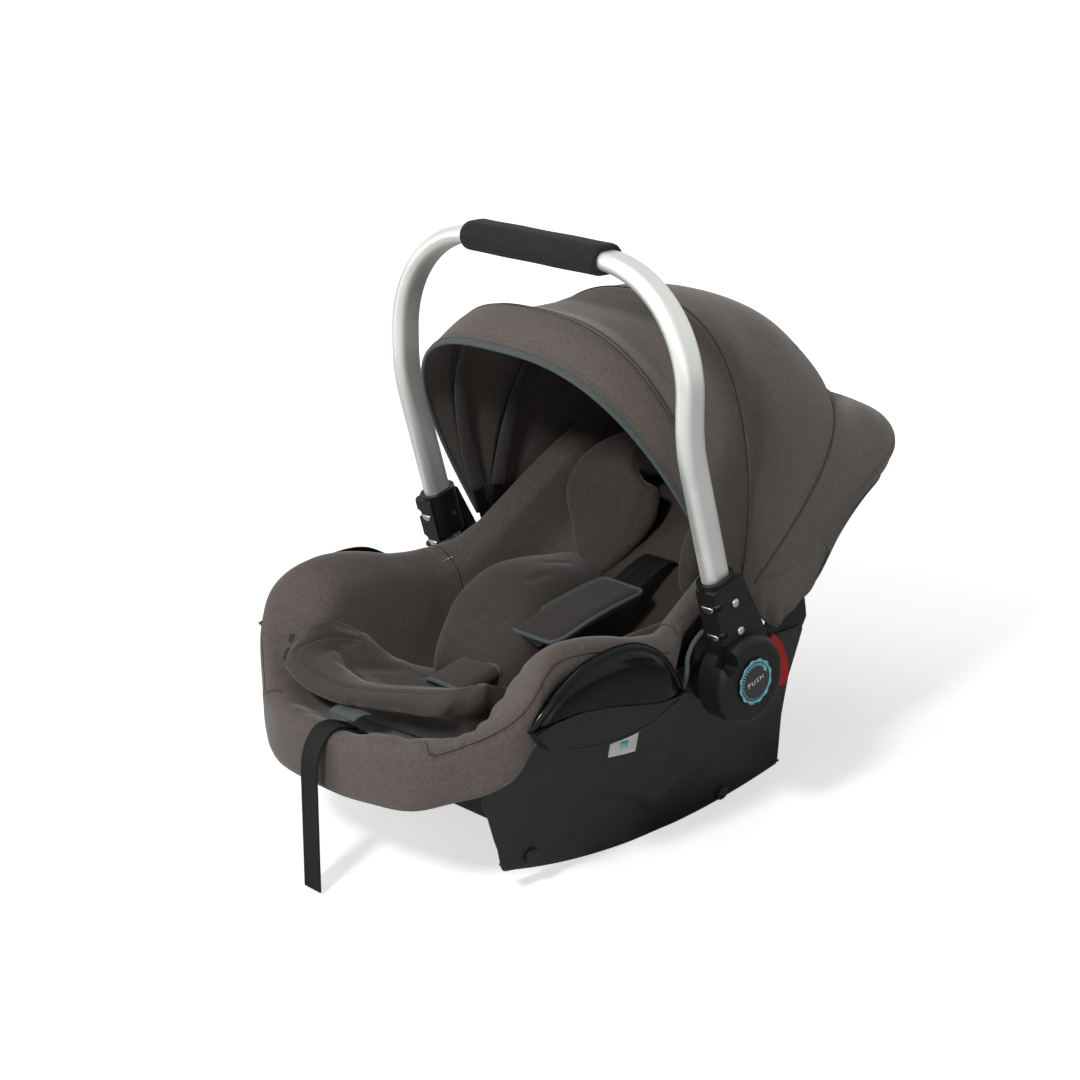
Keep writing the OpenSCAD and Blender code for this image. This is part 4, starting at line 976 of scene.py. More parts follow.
for s, tag in both_sides:
    hang = spread_between((s * 187, -148, 163), (s * 187, -112, 157), (s * 185, -115, 135),
                          (s * 185, -151, 139), 8, 12)
    hang[..., 0] += s * 0.8 * np.sin(np.linspace(0, 3, 12))[None, :]
    label_plate("hem_label_" + tag, hang, 0.5, label_white)
    print_ = hang[3:6, 4:8] + np.array([s * 0.35, 0, 0])
    label_plate("hem_label_block_" + tag, print_, 0.3, label_blue)
care = spread_between((-140, 58, 234), (-140, 158, 296), (-140, 128, 200), (-140, 76, 200), 9, 14)
care = [[laid_on(cover_tree, [p, p + np.array([0, 0.1, 0])], 0.9, 2)[0] for p in row] for row in care]
label_plate("inner_label", care, 0.4, label_white)


# ---- Insert --------------------------------------------------------------
# A removable pad for a newborn that lies in the tub: a rounded lip at the foot
# end, raised cheeks beside the legs and a flat back panel, piped round its edge.
# This cloth is the cover's warm grey painted darker, as painted shade of the tub's hollow. It is also
# used for the side cushions, the head support and the crotch sleeve.
insert_cloth_painted_shade = cloth_finish("insert_cloth_painted_shade", tone("#29231f"), tone("#403833"))
insert_keys = [(-303, 173, 180, 98, 11, 13), (-300, 171, 185, 107, 14, 14), (-289, 170, 191, 116, 15, 15),
               (-275, 164, 190, 127, 24, 20), (-260, 149, 180, 125, 42, 40),
               (-245, 136, 168, 123, 56, 56),
               (-225, 130, 158, 123, 60, 65), (-205, 125.5, 153, 124, 53, 60),
               (-180, 119.5, 149, 123, 33, 43),
               (-160, 115, 148, 118, 18, 19), (-140, 110.5, 146, 110, 8, 5),
               (-110, 104.5, 141, 102, 3, 0),
               (-80, 101, 136, 99, 2, 0), (-55, 104, 137, 98, 4, 0), (-35, 115, 144, 96, 7, 0),
               (-10, 135, 161, 92, 3, 0), (20, 164, 189, 88, 2, 0), (50, 194, 218, 88, 2, 0),
               (80, 220, 244, 88, 2, 0), (110, 242, 266, 88, 2, 0), (140, 263, 286, 86, 2, 0),
               (170, 282, 303, 80, 2, 0), (182, 293, 305, 72, 2, 0)]


def insert_ring(k, less=0.0):
    """The section at one place along the insert, drawn in by less all round."""
    w = np.radians(np.linspace(0, 180, 25))
    u = np.cos(w)
    mid = (k[1] + k[2]) / 2
    low = np.stack([k[3] * u, np.full_like(u, k[0]),
                    k[1] + k[4] * (np.maximum(0, np.abs(u) - 0.6) / 0.4) ** 2], 1)
    u = u[::-1]
    top = np.stack([k[3] * u, np.full_like(u, k[0]), k[2] + k[5] * np.abs(u) ** 3 - 4 * np.abs(u) ** 12],
                   1)
    ring = np.concatenate([low, top[1:-1]])
    if less:
        ring[:, 0] *= 1 - less / k[3]
        half = (k[2] - k[1]) / 2
        ring[1:24, 2] += min(less, half - 2)
        ring[26:, 2] -= min(less, half - 2)
    return ring


def closed_band(rings, n):
    """Faces of a stack of flat sections, each end closed by strips across it."""
    rows = len(rings)
    faces = wrap_faces(rows, n)
    half = n // 2
    for base, flip in ((0, False), ((rows - 1) * n, True)):
        for i in range(half):
            a, b, c, d = base + i, base + i + 1, base + (n - 1 - i) % n, base + (n - i) % n
            quad = list(dict.fromkeys((a, b, c, d)))
            if len(quad) >= 3:
                faces.append(tuple(quad if not flip else quad[::-1]))
    return faces


def swollen(piece, voxel, push, cap, frames=20, pinned=(), pin_width=5.0, smooth=2):
    """Remeshes a pad, blows it up a little as stuffed cloth, and keeps the result as a plain mesh."""
    def keep_evaluated():
        bpy.context.view_layer.update()
        seen_now = piece.evaluated_get(bpy.context.evaluated_depsgraph_get())
        mesh = bpy.data.meshes.new_from_object(seen_now)
        piece.modifiers.clear()
        old = piece.data
        piece.data = mesh
        bpy.data.meshes.remove(old)
        mesh.polygons.foreach_set("use_smooth", [True] * len(mesh.polygons))
    m = piece.modifiers.new("even", "REMESH")
    m.mode, m.voxel_size = "VOXEL", voxel / 1000
    keep_evaluated()
    start = np.array([v.co for v in piece.data.vertices])
    if len(pinned):
        group = piece.vertex_groups.new(name="sewn")
        near = np.full(len(start), 1e9)
        for line in pinned:
            d, _ = near_line(start * 1000, line)
            near = np.minimum(near, d)
        for i in np.where(near < pin_width)[0]:
            group.add([int(i)], 1.0, "REPLACE")
    c = piece.modifiers.new("stuffing", "CLOTH")
    c.settings.quality = 5
    c.settings.mass = 0.15
    c.settings.use_pressure = True
    c.settings.uniform_pressure_force = push
    c.settings.tension_stiffness = c.settings.compression_stiffness = 12
    c.settings.bending_stiffness = 0.6
    c.settings.effector_weights.gravity = 0
    if len(pinned):
        c.settings.vertex_group_mass = "sewn"
    c.point_cache.frame_start, c.point_cache.frame_end = 1, frames
    scene = bpy.context.scene
    for f in range(1, frames + 1):
        scene.frame_set(f)
    bpy.context.view_layer.update()
    seen_now = piece.evaluated_get(bpy.context.evaluated_depsgraph_get())
    end = np.array([v.co for v in seen_now.data.vertices])
    piece.modifiers.clear()
    scene.frame_set(1)
    move = end - start
    size = np.linalg.norm(move, axis=1, keepdims=True)
    move *= np.minimum(1, cap / 1000 / np.maximum(size, 1e-9))
    piece.data.vertices.foreach_set("co", (start + move).ravel())
    s = piece.modifiers.new("even", "SMOOTH")
    s.iterations, s.factor = smooth, 0.5
    d = piece.modifiers.new("finer", "SUBSURF")
    d.levels = d.render_levels = 1
    keep_evaluated()
    piece.vertex_groups.clear()


def shaped(piece, lines):
    """Presses seams and folds into a finished pad, along its own normals."""
    mesh = piece.data
    co = np.empty(len(mesh.vertices) * 3)
    no = np.empty_like(co)
    mesh.vertices.foreach_get("co", co)
    mesh.vertices.foreach_get("normal", no)
    co, no = co.reshape(-1, 3) * 1000, no.reshape(-1, 3)
    mesh.vertices.foreach_set("co", (pressed(co, no, lines) / 1000).ravel())
    mesh.update()


def slumped(p):
    """The lip's near half has slid up the tub: a little further back and higher than the far half."""
    p = np.array(p, float)
    share = ease((p[..., 0] + 40) / 130) * ease((-225 - p[..., 1]) / 50)
    p[..., 1] += 20 * share
    p[..., 2] += 13 * share
    return p


def insert_top(y, u):
    """A place on top of the insert, u from -1 to 1 across it."""
    keys = np.array(insert_keys)
    k = [float(np.interp(y, keys[:, 0], keys[:, j])) for j in range(6)]
    return slumped(np.array([k[3] * u, y, k[2] + k[5] * abs(u) ** 3 - 4 * abs(u) ** 12]))


insert_rings = slumped(through_rings([insert_ring(k, 1.5) for k in insert_keys], 5.0))
insert_pad = lay("newborn_insert", insert_rings.reshape(-1, 3), closed_band(insert_rings, 48),
                 insert_cloth_painted_shade)
turned_out(insert_pad)
lip_line = [insert_top(y, -0.86) for y in (-205, -225, -245, -262, -276, -287)] \
    + [insert_top(-293, u) for u in (-0.7, -0.45, -0.2, 0, 0.2, 0.45, 0.7)] \
    + [insert_top(y, 0.86) for y in (-287, -276, -262, -245, -225, -205)]
lip_line = smooth_line(lip_line, 90)
swollen(insert_pad, 5.0, 3.0, 3.0, pinned=[lip_line], pin_width=3.5)
insert_tree = surface_of(insert_pad)
lip_seam = laid_on(insert_tree, lip_line, 0.0)
cheek_lines = [laid_on(insert_tree,
                       [insert_top(y, s * u) for y,
                        u in ((-262, 0.55), (-240, 0.60), (-215, 0.62), (-190, 0.62), (-165, 0.66))],
                        0.0, 30)
               for s in (1, -1)]
behind_lip = laid_on(insert_tree,
                     smooth_line([insert_top(-250 + 14 * u * u, u) for u in (-0.75, -0.5, -0.25, 0, 0.25,
                         0.5, 0.75)], 50), 0.0)
shaped(insert_pad, [(lip_seam, 1.9, -1.8, False), (lip_seam, 9.0, 1.2, False),
                    (behind_lip, 5.0, -2.6, False)]
       + [(c, 7.0, -2.2, True) for c in cheek_lines]
       + [(laid_on(insert_tree, [insert_top(y0, u0), insert_top((y0 + y1) / 2, (u0 + u1) / 2),
                                 insert_top(y1, u1)], 0, 14), w, h, True)
          for y0, u0, y1, u1, w,
          h in ((-180, 0.35, -210, 0.1, 6, -1.2), (-176, -0.3, -214, -0.12, 7, -1.3),
                                       (-240, 0.3, -252, -0.05, 9, 1.0), (-225, -0.5, -250, -0.2, 8, 1.0),
                                       (-168, 0.55, -140, 0.3, 6, -1.4),
                                       (-168, -0.55, -140, -0.3, 6, -1.4))])
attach(insert_pad, "seat")
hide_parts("insert_pad")
insert_tree = surface_of(insert_pad)
lip_cord = cord_line("insert_lip_seam", [laid_on(insert_tree, lip_seam, 0.2)], 0.55, seam_thread, sides=6)
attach(lip_cord, "seat")


# ---- Side bolsters -------------------------------------------------------
# Stuffed cushions of the insert's cloth beside the hips and shoulders: the near
# one lies along the tub's wall, the far one is pulled up and over its strap pad.
bolster_path = [(101.6, -112, 149), (102.6, -96, 158), (103.6, -75, 167.5), (104.6, -47, 177),
                (105.6, -15, 189),
                (108.6, 12, 202), (109.1, 37, 216), (109.1, 62, 234), (108.1, 85, 250)]
bolster_w, bolster_t = [5, 13, 17, 17, 15, 11.5, 10.5, 9.5, 7], [4, 12, 24, 33, 27, 17, 12, 8, 5]


def cushion_rings(path, half_w, half_t, less=0.0, sides=28, steps=5.0):
    path = np.asarray(path, float)
    rings = []
    for i in range(len(path)):
        a, b = path[max(0, i - 1)], path[min(len(path) - 1, i + 1)]
        d = (b - a) / np.linalg.norm(b - a)
        side = np.cross(d, (0, -0.6, 0.8))
        side /= np.linalg.norm(side)
        up = np.cross(side, d)
        w = -2 * math.pi * np.arange(sides) / sides
        rings.append(path[i] + np.outer(max(1.5, half_w[i] - less) * spow(np.cos(w), 0.8), side)
                     + np.outer(max(1.5, half_t[i] - less) * spow(np.sin(w), 0.8), up))
    return through_rings(rings, steps)


def bolster_piece(tag, rings, ridge, creases):
    bolster = lay("side_cushion_" + tag, rings, capped(*rings.shape[:2]), insert_cloth_painted_shade)
    turned_out(bolster)
    swollen(bolster, 4.5, 4.0, 2.5, smooth=3)
    tree = surface_of(bolster)
    pulls = [(laid_on(tree, [from_, to_], 0, 12), w, h, True) for from_, to_, w, h in creases]
    shaped(bolster, [(laid_on(tree, ridge, 0.0), 1.8, -1.2, False)] + pulls)
    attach(bolster, "seat")
    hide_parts("bolster_" + tag)


bolster_piece("right", cushion_rings(bolster_path, bolster_w, bolster_t, 1.2),
              smooth_line([(x - 6, y - t * 0.25, z + t * 0.85) for (x, y, z),
                           t in zip(bolster_path, bolster_t)], 50),
              [((88, -104, 160), (90, -70, 186), 4, -1.6), ((87, -98, 160), (88, -55, 180), 4, -1.4),
               ((88, -30, 205), (96, -8, 212), 5, -1.5), ((90, 4, 210), (98, 20, 214), 4, -1.2),
               ((86, -60, 160), (86, -30, 168), 5, -1.2)])
# stations of the far cushion: how far along, its two edges, its rise and the height of its edges
lobe = [(-152, -58, -16, 10, 150), (-142, -68, 14, 24, 152), (-130, -78, 34, 37, 154),
        (-110, -92, 40, 44, 160),
        (-80, -106, 30, 46, 178), (-40, -113, 12, 51, 187), (0, -112, 2, 42, 195),
        (30, -106, -8, 29, 203), (52, -92, -22, 18, 212),
        (66, -74, -42, 8, 220)]
lobe_rings = []
for y, left, right, h, z in lobe:
    sweep = np.radians(np.linspace(-12, 192, 26))
    skin, thick = [], min(10.0, 0.6 * h)
    mid, w = (left + right) / 2, (right - left) / 2
    for less, order in ((0.0, sweep), (thick, sweep[::-1])):
        ww, hh = max(w - less, 1.5), max(h - less, 1.0)
        skin += [(mid + ww * spow(math.cos(a), 0.62 if math.cos(a) > 0 else 0.85),
                  y - 0.12 * hh * math.sin(a),
                  z + hh * spow(math.sin(a), 0.72)) for a in order]
    lobe_rings.append(skin)
bolster_piece("left", through_rings([np.array(r) for r in lobe_rings], 5.0),
              smooth_line([(left + 0.16 * (right - left), y, z + 0.7 * h) for y, left, right, h,
                           z in lobe[1:-1]], 50),
              [((-46, -124, 200), (-30, -96, 210), 6, -2.0), ((-8, -118, 204), (-2, -84, 214), 7, -2.0),
               ((-24, -60, 236), (-20, -20, 236), 7, -1.8), ((-50, -12, 240), (-38, 22, 232), 6, -1.4),
               ((-84, -40, 224), (-80, -4, 226), 7, -1.2)])


# ---- Head support --------------------------------------------------------
# A stuffed horseshoe cushion round the head, of the same cloth, fastened to
# the insert's back panel. The far arm has slumped and spread over the bolster.
arm = [(92, 47, 225), (93, 56, 243), (92, 72, 264), (89, 94, 284), (78, 116, 302), (52, 134, 314),
       (18, 147, 319)]
arm_w, arm_t = [7, 14, 17, 17, 17, 17, 17], [4, 17, 28, 29, 28, 24, 22]
far_arm = [(-30, 39, 217), (-34, 48, 224), (-38, 62, 240), (-41, 76, 258), (-44, 84, 278),
           (-47, 88, 300), (-50, 96, 318),
           (-42, 118, 330), (-16, 145, 324)]
far_w, far_t = [7, 22, 38, 52, 61, 60, 48, 32, 18], [6, 9, 11, 13, 14, 16, 18, 20, 20]
rings = cushion_rings(arm + far_arm[::-1], arm_w + far_w[::-1], arm_t + far_t[::-1], 1.2)
head_cushion = lay("head_support", rings, capped(*rings.shape[:2]), insert_cloth_painted_shade)
turned_out(head_cushion)
swollen(head_cushion, 5.0, 4.0, 2.5, smooth=3)
tree = surface_of(head_cushion)
rim_seam = smooth_line([(x * (1 - 0.14 * (abs(x) > 20)), y - t * 0.5, z + t * 0.7) for (x, y, z),
                        t in zip(arm[1:], arm_t[1:])]
                       + [(x + 0.35 * w * (x < -40), y - 0.5 * t, z + 0.75 * t)
                          for (x, y, z), w, t in zip(far_arm[:1:-1], far_w[:1:-1], far_t[:1:-1])], 90)
shaped(head_cushion, [(laid_on(tree, rim_seam, 0), 1.8, -1.1, False),
                      (laid_on(tree, [(48, 118, 330), (40, 128, 345)], 0, 10), 5, -1.4, True),
                      (laid_on(tree, [(-48, 118, 330), (-40, 128, 345)], 0, 10), 5, -1.4, True),
                      (laid_on(tree, [(0, 125, 330), (0, 140, 342)], 0, 10), 6, -1.2, True)])
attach(head_cushion, "seat")
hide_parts("head_hugger")


# ---- Handle --------------------------------------------------------------
# An oval tube of satin anodised aluminium, bent to an arch, in two moulded arms
# that turn on the hubs. A split foam sleeve with rounded ends makes the grip.
tube_metal, tt_, tskin = finish_nodes("satin_tube", 0.4, Metallic=0.72, Anisotropic=0.3)
draw_slow = noise(tt_, own_place(tt_), 18.0, 4.0)
tinted(tt_, tskin, draw_slow, tone("#dfe2de"), tone("#eff1ed"))
tt_.links.new(ranged(tt_, draw_slow, 0.3, 0.7, 0.4, 0.5), tskin.inputs["Roughness"])
bumped(tt_, tskin, 0.06, 0.0002, noise(tt_, own_place(tt_), 1400.0, 3.0))
dress(["handle_tube"], tube_metal)
hub_black = plastic_finish("hub_black", tone("#111212"), tone("#252523"), 0.44, 0.58, 1000.0, 0.22, 0.4,
                           Specular_IOR_Level=0.3)
dress(["handle_arm_left", "handle_arm_right"], hub_black)

grip_foam, gt_, gskin = finish_nodes("grip_foam", 0.9, Sheen_Weight=0.05, Sheen_Roughness=0.5,
                                     Specular_IOR_Level=0.25)
foam_cells = place(gt_, "ShaderNodeTexVoronoi", {"Vector": own_place(gt_), "Scale": 900.0})
tinted(gt_, gskin, noise(gt_, own_place(gt_), 210.0, 5.0), tone("#151616"), tone("#2a2b2b"))
bumped(gt_, gskin, 0.4, 0.0004, foam_cells.outputs["Distance"])


oval_points = 48


def oval_line(a, b, n=oval_points):
    """The tube's oval: a long and b across, as points round it."""
    out = []
    for i in range(n):
        t = 2 * math.pi * i / n
        x, y = b / 2 * math.cos(t), b / 2 * math.sin(t)
        out.append((x + (a - b) / 2 * (1 if math.cos(t) > 1e-9 else -1 if math.cos(t) < -1e-9 else 0), y))
    return out


grip_half, grip_y, grip_z = 92.0, -62.0, 577.0
grip_rings = []
for x, over in ([(-grip_half + 1.2, 0.4), (-grip_half, 2.0), (-grip_half + 0.6, 3.9),
                 (-grip_half + 2.6, 5.1), (-grip_half + 6, 5.6)]
                + [(x, 5.5 + 0.35 * math.sin(x / 23) ** 2) for x in np.linspace(-78, 78, 27)]
                + [(grip_half - 6, 5.6), (grip_half - 2.6, 5.1), (grip_half - 0.6, 3.9),
                   (grip_half, 2.0), (grip_half - 1.2, 0.4)]):
    grip_rings.append([(x, grip_y + p, grip_z + q) for p, q in oval_line(30 + 2 * over, 18 + 2 * over)])
grip = lay("foam_grip", grip_rings, looped(len(grip_rings), oval_points), grip_foam)
turned_out(grip)
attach(grip, "handle")
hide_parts("handle_grip")

# Rivets: domed zinc heads, two through each arm and the tube in it.
zinc, zt, zskin = finish_nodes("zinc_plate", 0.3, Metallic=1.0)
z_noise = noise(zt, own_place(zt), 420.0, 4.0)
tinted(zt, zskin, z_noise, tone("#9aa5a6"), tone("#d5dedd"))
zt.links.new(ranged(zt, z_noise, 0.0, 1.0, 0.2, 0.45), zskin.inputs["Roughness"])
dress(["handle_rivets", "pivot_bolt_left", "pivot_bolt_right", "hood_pin_left", "hood_pin_right",
       "buckle_tongues", "harness_yoke"], zinc)
handle_lean = math.asin(7 / 25)
pivot_y, pivot_z, arm_out = 8.0, 182.0, 211.5


def arc(radius, angles):
    return [(radius * math.cos(a), radius * math.sin(a)) for a in angles]


def in_handle(x, y, z):
    """A place given in the leaning handle's own frame."""
    c, s = math.cos(handle_lean), math.sin(handle_lean)
    return (x, pivot_y + c * y - s * z, pivot_z + s * y + c * z)


riveter, ri = new_grower("domed_rivets", {"Radius": 0.0043, "Height": 0.0016}, "Metal")
r_points = place(riveter, "GeometryNodeMeshToPoints", {"Mesh": ri.outputs["Geometry"]})
r_ball = place(riveter, "GeometryNodeMeshUVSphere", {"Segments": 24, "Rings": 12, "Radius": 1.0})
r_size = place(riveter, "ShaderNodeCombineXYZ", {0: ri.outputs["Height"], 1: ri.outputs["Radius"],
                                                 2: ri.outputs["Radius"]})
r_dome = place(riveter, "GeometryNodeTransform",
               {"Geometry": r_ball.outputs[0], "Scale": r_size.outputs[0]})
r_set = place(riveter, "GeometryNodeInstanceOnPoints",
              {"Points": r_points.outputs[0], "Instance": r_dome.outputs[0]})
r_real = place(riveter, "GeometryNodeRealizeInstances", {0: r_set.outputs[0]})
r_mat = place(riveter, "GeometryNodeSetMaterial",
              {"Geometry": r_real.outputs[0], "Material": ri.outputs["Metal"]})
place(riveter, "NodeGroupOutput", {0: r_mat.outputs[0]})
rivet_spots = [in_handle(s * (arm_out + 1.6), y, z) for s in (1, -1) for y, z in ((4, 83.0), (4, 52.0))]
rivet_seed = lay("rivet_spots", rivet_spots, [], zinc)
grown("rivet_heads", rivet_seed, riveter, "handle", "steel", Metal=zinc)

# Two plated half-round windows on the front of each arm show how far the handle has turned.
window_x, window_parts = 199.5, []
for s in (1, -1):
    for height in (88.0, 57.0):
        line = arc(7.0, np.radians(np.linspace(180, 360, 25)))
        small = [(0.86 * x, 0.86 * z - 0.4) for x, z in line]
        stack = [in_handle(s * (window_x + x), y, height + z)
                 for y, ring in ((-19.4, line), (-20.6, line), (-21.1, small)) for x, z in ring]
        window_parts.append((stack, capped(3, len(line))))
windows = joined("arm_windows", window_parts, zinc)
turned_out(windows)
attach(windows, "handle")

# Push buttons: a gloss disc with a printed ring of twelve lobes, a row of
# ticks that grows into an arrow, and the word that says how to work it.
button_gloss = plastic_finish("button_gloss", tone("#0e1011"), tone("#232627"), 0.16, 0.26, 1500.0, 0.03,
                              0.3, Coat_Weight=0.4)
dress(["push_button_left", "push_button_right"], button_gloss)


def ink_finish(name, dark, light, rough):
    """Pad-printed ink, a little uneven."""
    m, t, skin = finish_nodes(name, rough)
    tinted(t, skin, noise(t, own_place(t), 500.0), dark, light)
    return m


print_blue = ink_finish("print_blue", tone("#5fb4c6"), tone("#7ccbda"), 0.42)
print_white = ink_finish("print_white", tone("#d9dedd"), tone("#f2f5f4"), 0.45)

word = bpy.data.curves.new("push_word", "FONT")
word.body, word.size, word.align_x, word.align_y, word.extrude = "PUSH", 6.4, "CENTER", "CENTER", 0.06
word.space_character = 1.3
word_object = bpy.data.objects.new("push_word", word)
bpy.context.scene.collection.objects.link(word_object)
bpy.context.view_layer.update()
word_now = word_object.evaluated_get(bpy.context.evaluated_depsgraph_get())
word_mesh = bpy.data.meshes.new_from_object(word_now)
word_pts = np.array([v.co for v in word_mesh.vertices])
word_faces = [tuple(p.vertices) for p in word_mesh.polygons]
bpy.data.objects.remove(word_object)
face_x = 224.0
for s, tag in both_sides:
    c_, s_ = math.cos(handle_lean), math.sin(handle_lean)
    reading, upward = np.array([0, s * c_, s * s_]), np.array([0, -s_, c_])
    middle = np.array([0, pivot_y, pivot_z])

    def on_disc(x, y, h):
        return middle + reading * x + upward * y + np.array([s * (face_x + h), 0, 0])

    def plate(outline_outer, outline_inner, h):
        """A thin printed band between two closed lines."""
        rings = [[on_disc(x, y, 0.02) for x, y in outline_inner],
                 [on_disc(x, y, h) for x, y in outline_inner],
                 [on_disc(x, y, h) for x, y in outline_outer],
                 [on_disc(x, y, 0.02) for x, y in outline_outer]]
        return np.array(rings).reshape(-1, 3), wrap_faces(4, len(outline_outer))

    lobes = np.linspace(0, 2 * math.pi, 240, endpoint=False)
    reach = [21.3 + 1.7 * abs(math.cos(6 * a)) ** 2.2 for a in lobes]
    outer = [(r * math.cos(a), r * math.sin(a)) for r, a in zip(reach, lobes)]
    parts = [plate(outer, arc(19.6, lobes), 0.28)]
    ticks = 27
    for i in range(ticks):
        a = math.radians(-50 - i * 10.2)
        grow_ = i / (ticks - 1)
        half_t, r0, r1 = math.radians(1.0 + 2.5 * grow_), 17.6 - 1.9 * grow_, 18.1 + 0.4 * grow_
        corners = [(r0, a - half_t), (r1, a - half_t), (r1, a + half_t), (r0, a + half_t)]
        base = [on_disc(r * math.cos(q), r * math.sin(q), 0.02) for r, q in corners]
        top = [on_disc(r * math.cos(q), r * math.sin(q), 0.24) for r, q in corners]
        parts.append((base + top,
                      [(4, 5, 6, 7)] + [(k, (k + 1) % 4, 4 + (k + 1) % 4, 4 + k) for k in range(4)]))
    band = np.radians(np.linspace(44, 27, 18))
    head = [arc(r, [math.radians(a)])[0] for r, a in ((19.3, 27), (16.9, 4), (14.0, 27))]
    shape = arc(18.5, band) + head + arc(15.8, band)[::-1]
    n = len(shape)
    base = [on_disc(x, y, 0.02) for x, y in shape]
    top = [on_disc(x, y, 0.24) for x, y in shape]
    strip = [(n + k, n + k + 1, 2 * n - 2 - k, 2 * n - 1 - k) for k in range(17)]
    strip += [(n + 17, n + 18, n + 19), (n + 17, n + 19, n + 20), (n + 17, n + 20, n + 21)]
    parts.append((base + top, strip + [(k, (k + 1) % n, n + (k + 1) % n, n + k) for k in range(n)]))
    printed = joined("button_print_" + tag, parts, print_blue)
    turned_out(printed)
    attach(printed, tag + "_button")
    letters = lay("push_word_" + tag, [on_disc(1.25 * x, y, 0.14 + z) for x, y, z in word_pts],
                  word_faces, print_white)
    turned_out(letters)
    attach(letters, tag + "_button")


# ---- Belt guides and hooks -----------------------------------------------
# A high-gloss shield on each side holds the car's lap belt down. It has a
# rolled upper edge and a matt lip below; a red hook behind takes the other belt.
gloss_black = plastic_finish("gloss_black", tone("#0a0c0d"), tone("#15191a"), 0.13, 0.2, 1500.0, 0.01,
                             0.25, Specular_IOR_Level=0.2)
lip_black = plastic_finish("lip_black", tone("#121414"), tone("#242726"), 0.3, 0.42, 1200.0, 0.08, 0.35,
                           Specular_IOR_Level=0.35)
dress(["guide_lip_left", "guide_lip_right"], lip_black)
hook_red = plastic_finish("hook_red", tone("#c21a0c"), tone("#d92f1c"), 0.36, 0.48, 1100.0, 0.06, 0.12,
                          Specular_IOR_Level=0.25)
dress(["belt_hook_left", "belt_hook_right"], hook_red)
seam_keys = [(-257, 196.5), (-250, 199.5), (-230, 203.5), (-204, 204.2), (-180, 201.2), (-154, 196.8),
             (-130, 191.2), (-107, 186.7),
             (-85, 185), (-62, 186.3)]
shield_top = [(-257, 197.5), (-252, 206), (-243, 216), (-226, 229.5), (-205, 240.5), (-187, 246.5),
              (-155, 250.5), (-127, 248),
              (-106, 239.5), (-88, 226), (-76, 210), (-68, 197), (-62, 187.3)]
for s, tag in both_sides:
    along = -159.5 - 97.5 * np.cos(np.linspace(0, math.pi, 90))
    stack, n = [], 40
    for y in along:
        low, high = float(flow(y, seam_keys)), float(flow(y, shield_top))
        up = low + max(high - low, 0.4) * (1 - np.cos(np.linspace(0, math.pi, n))) / 2
        slant = (float(flow(y + 2, shield_top)) - float(flow(y - 2, shield_top))) / 4
        to_edge = np.maximum(high - up, 0) / math.hypot(1, slant)
        to_seam = up - low
        end = min(y + 257, -62 - y)
        near = np.minimum(to_edge, end * 0.9)
        dome = 6.5 * (1 - (1 - np.clip(near / 34, 0, 1)) ** 2.2) + 1.2 * np.sin(np.clip(to_seam / 40, 0,
            1) * math.pi)
        rolled = 1.9 * (1 - (1 - np.clip(near / 3.2, 0, 1)) ** 2) ** 0.5 - 1.5 * np.exp(-((near - 6.4)
            / 1.5) ** 2)
        face = 192.6 + 2.4 * ease((y + 257) / 22) + dome + rolled - 0.8 * np.clip(1 - to_seam / 1.2, 0,
            1) ** 2
        skin = np.stack([s * face, np.full(n, y), up], 1)
        back = np.stack([np.full(n, s * 192.0), np.full(n, y), up[::-1]], 1)
        stack.append(np.concatenate([skin, back]))
    shield = np.array(stack)
    guide = lay("lap_belt_shield_" + tag, shield, capped(*shield.shape[:2]), gloss_black)
    turned_out(guide)
    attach(guide, "seat")
    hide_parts("belt_guide_" + tag)
    lip_low = [(-241, 179.6), (-225, 173), (-200, 166.8), (-170, 163), (-140, 162.6), (-110, 167),
               (-85, 175), (-66, 184)]
    bead = cord_line("guide_lip_bead_" + tag,
                     [smooth_line([(s * 202.2, y, z + 0.6) for y, z in lip_low], 80),
                                               smooth_line([(s * 202.4, y, z - 2.4) for y,
                                                            z in seam_keys[2:]], 80)], 0.9, lip_black,
                                                            sides=8)
    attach(bead, "seat")


# ---- Hood ----------------------------------------------------------------
# A folding canopy of the cover's cloth on two flat bows: a visor band with a
# bound front edge, two panels between the bows, and a boot over the head end.
hood_cloth = cloth_finish("hood_cloth", tone("#47403c"), tone("#665d58"), sheen=0.3)
hood_lining = cloth_finish("hood_lining", tone("#423b38"), tone("#625954"), sheen=0.25)
sleeve_cloth = cloth_finish("sleeve_cloth", tone("#2b2624"), tone("#423b38"), sheen=0.2)
hood_y, hood_z, hood_half_w = 30.0, 238.0, 178.0
hood_height = [(-31, 292), (-26, 296), (-21.5, 298), (-18, 292), (-12, 278), (-4, 274), (3, 275.5),
               (9, 280), (18, 290),
               (26, 297), (33, 300), (40, 299), (46, 294), (51, 288), (56, 287), (61, 294), (66, 307),
               (70, 315), (75, 316),
               (81, 310), (87, 301), (91, 291)]
hood_square = [(-31, 2.9), (-21.5, 2.8), (-18, 2.75), (-12, 2.6), (9, 2.5), (26, 2.5), (33, 2.6),
               (40, 2.7), (46, 3), (51, 3.3),
               (56, 3.6), (61, 4), (66, 4.5), (70, 4.8), (81, 4.8), (87, 4.5), (91, 4.2)]
hood_drop = [(51, 0), (56, 0.05), (61, 0.12), (66, 0.22), (70, 0.32), (75, 0.48), (81, 0.68), (87, 0.9),
             (91, 1)]
boot_dip = [(30, 0), (60, -20), (110, -15), (148, 4), (185, 44), (225, 70), (264, 80), (335, 80)]


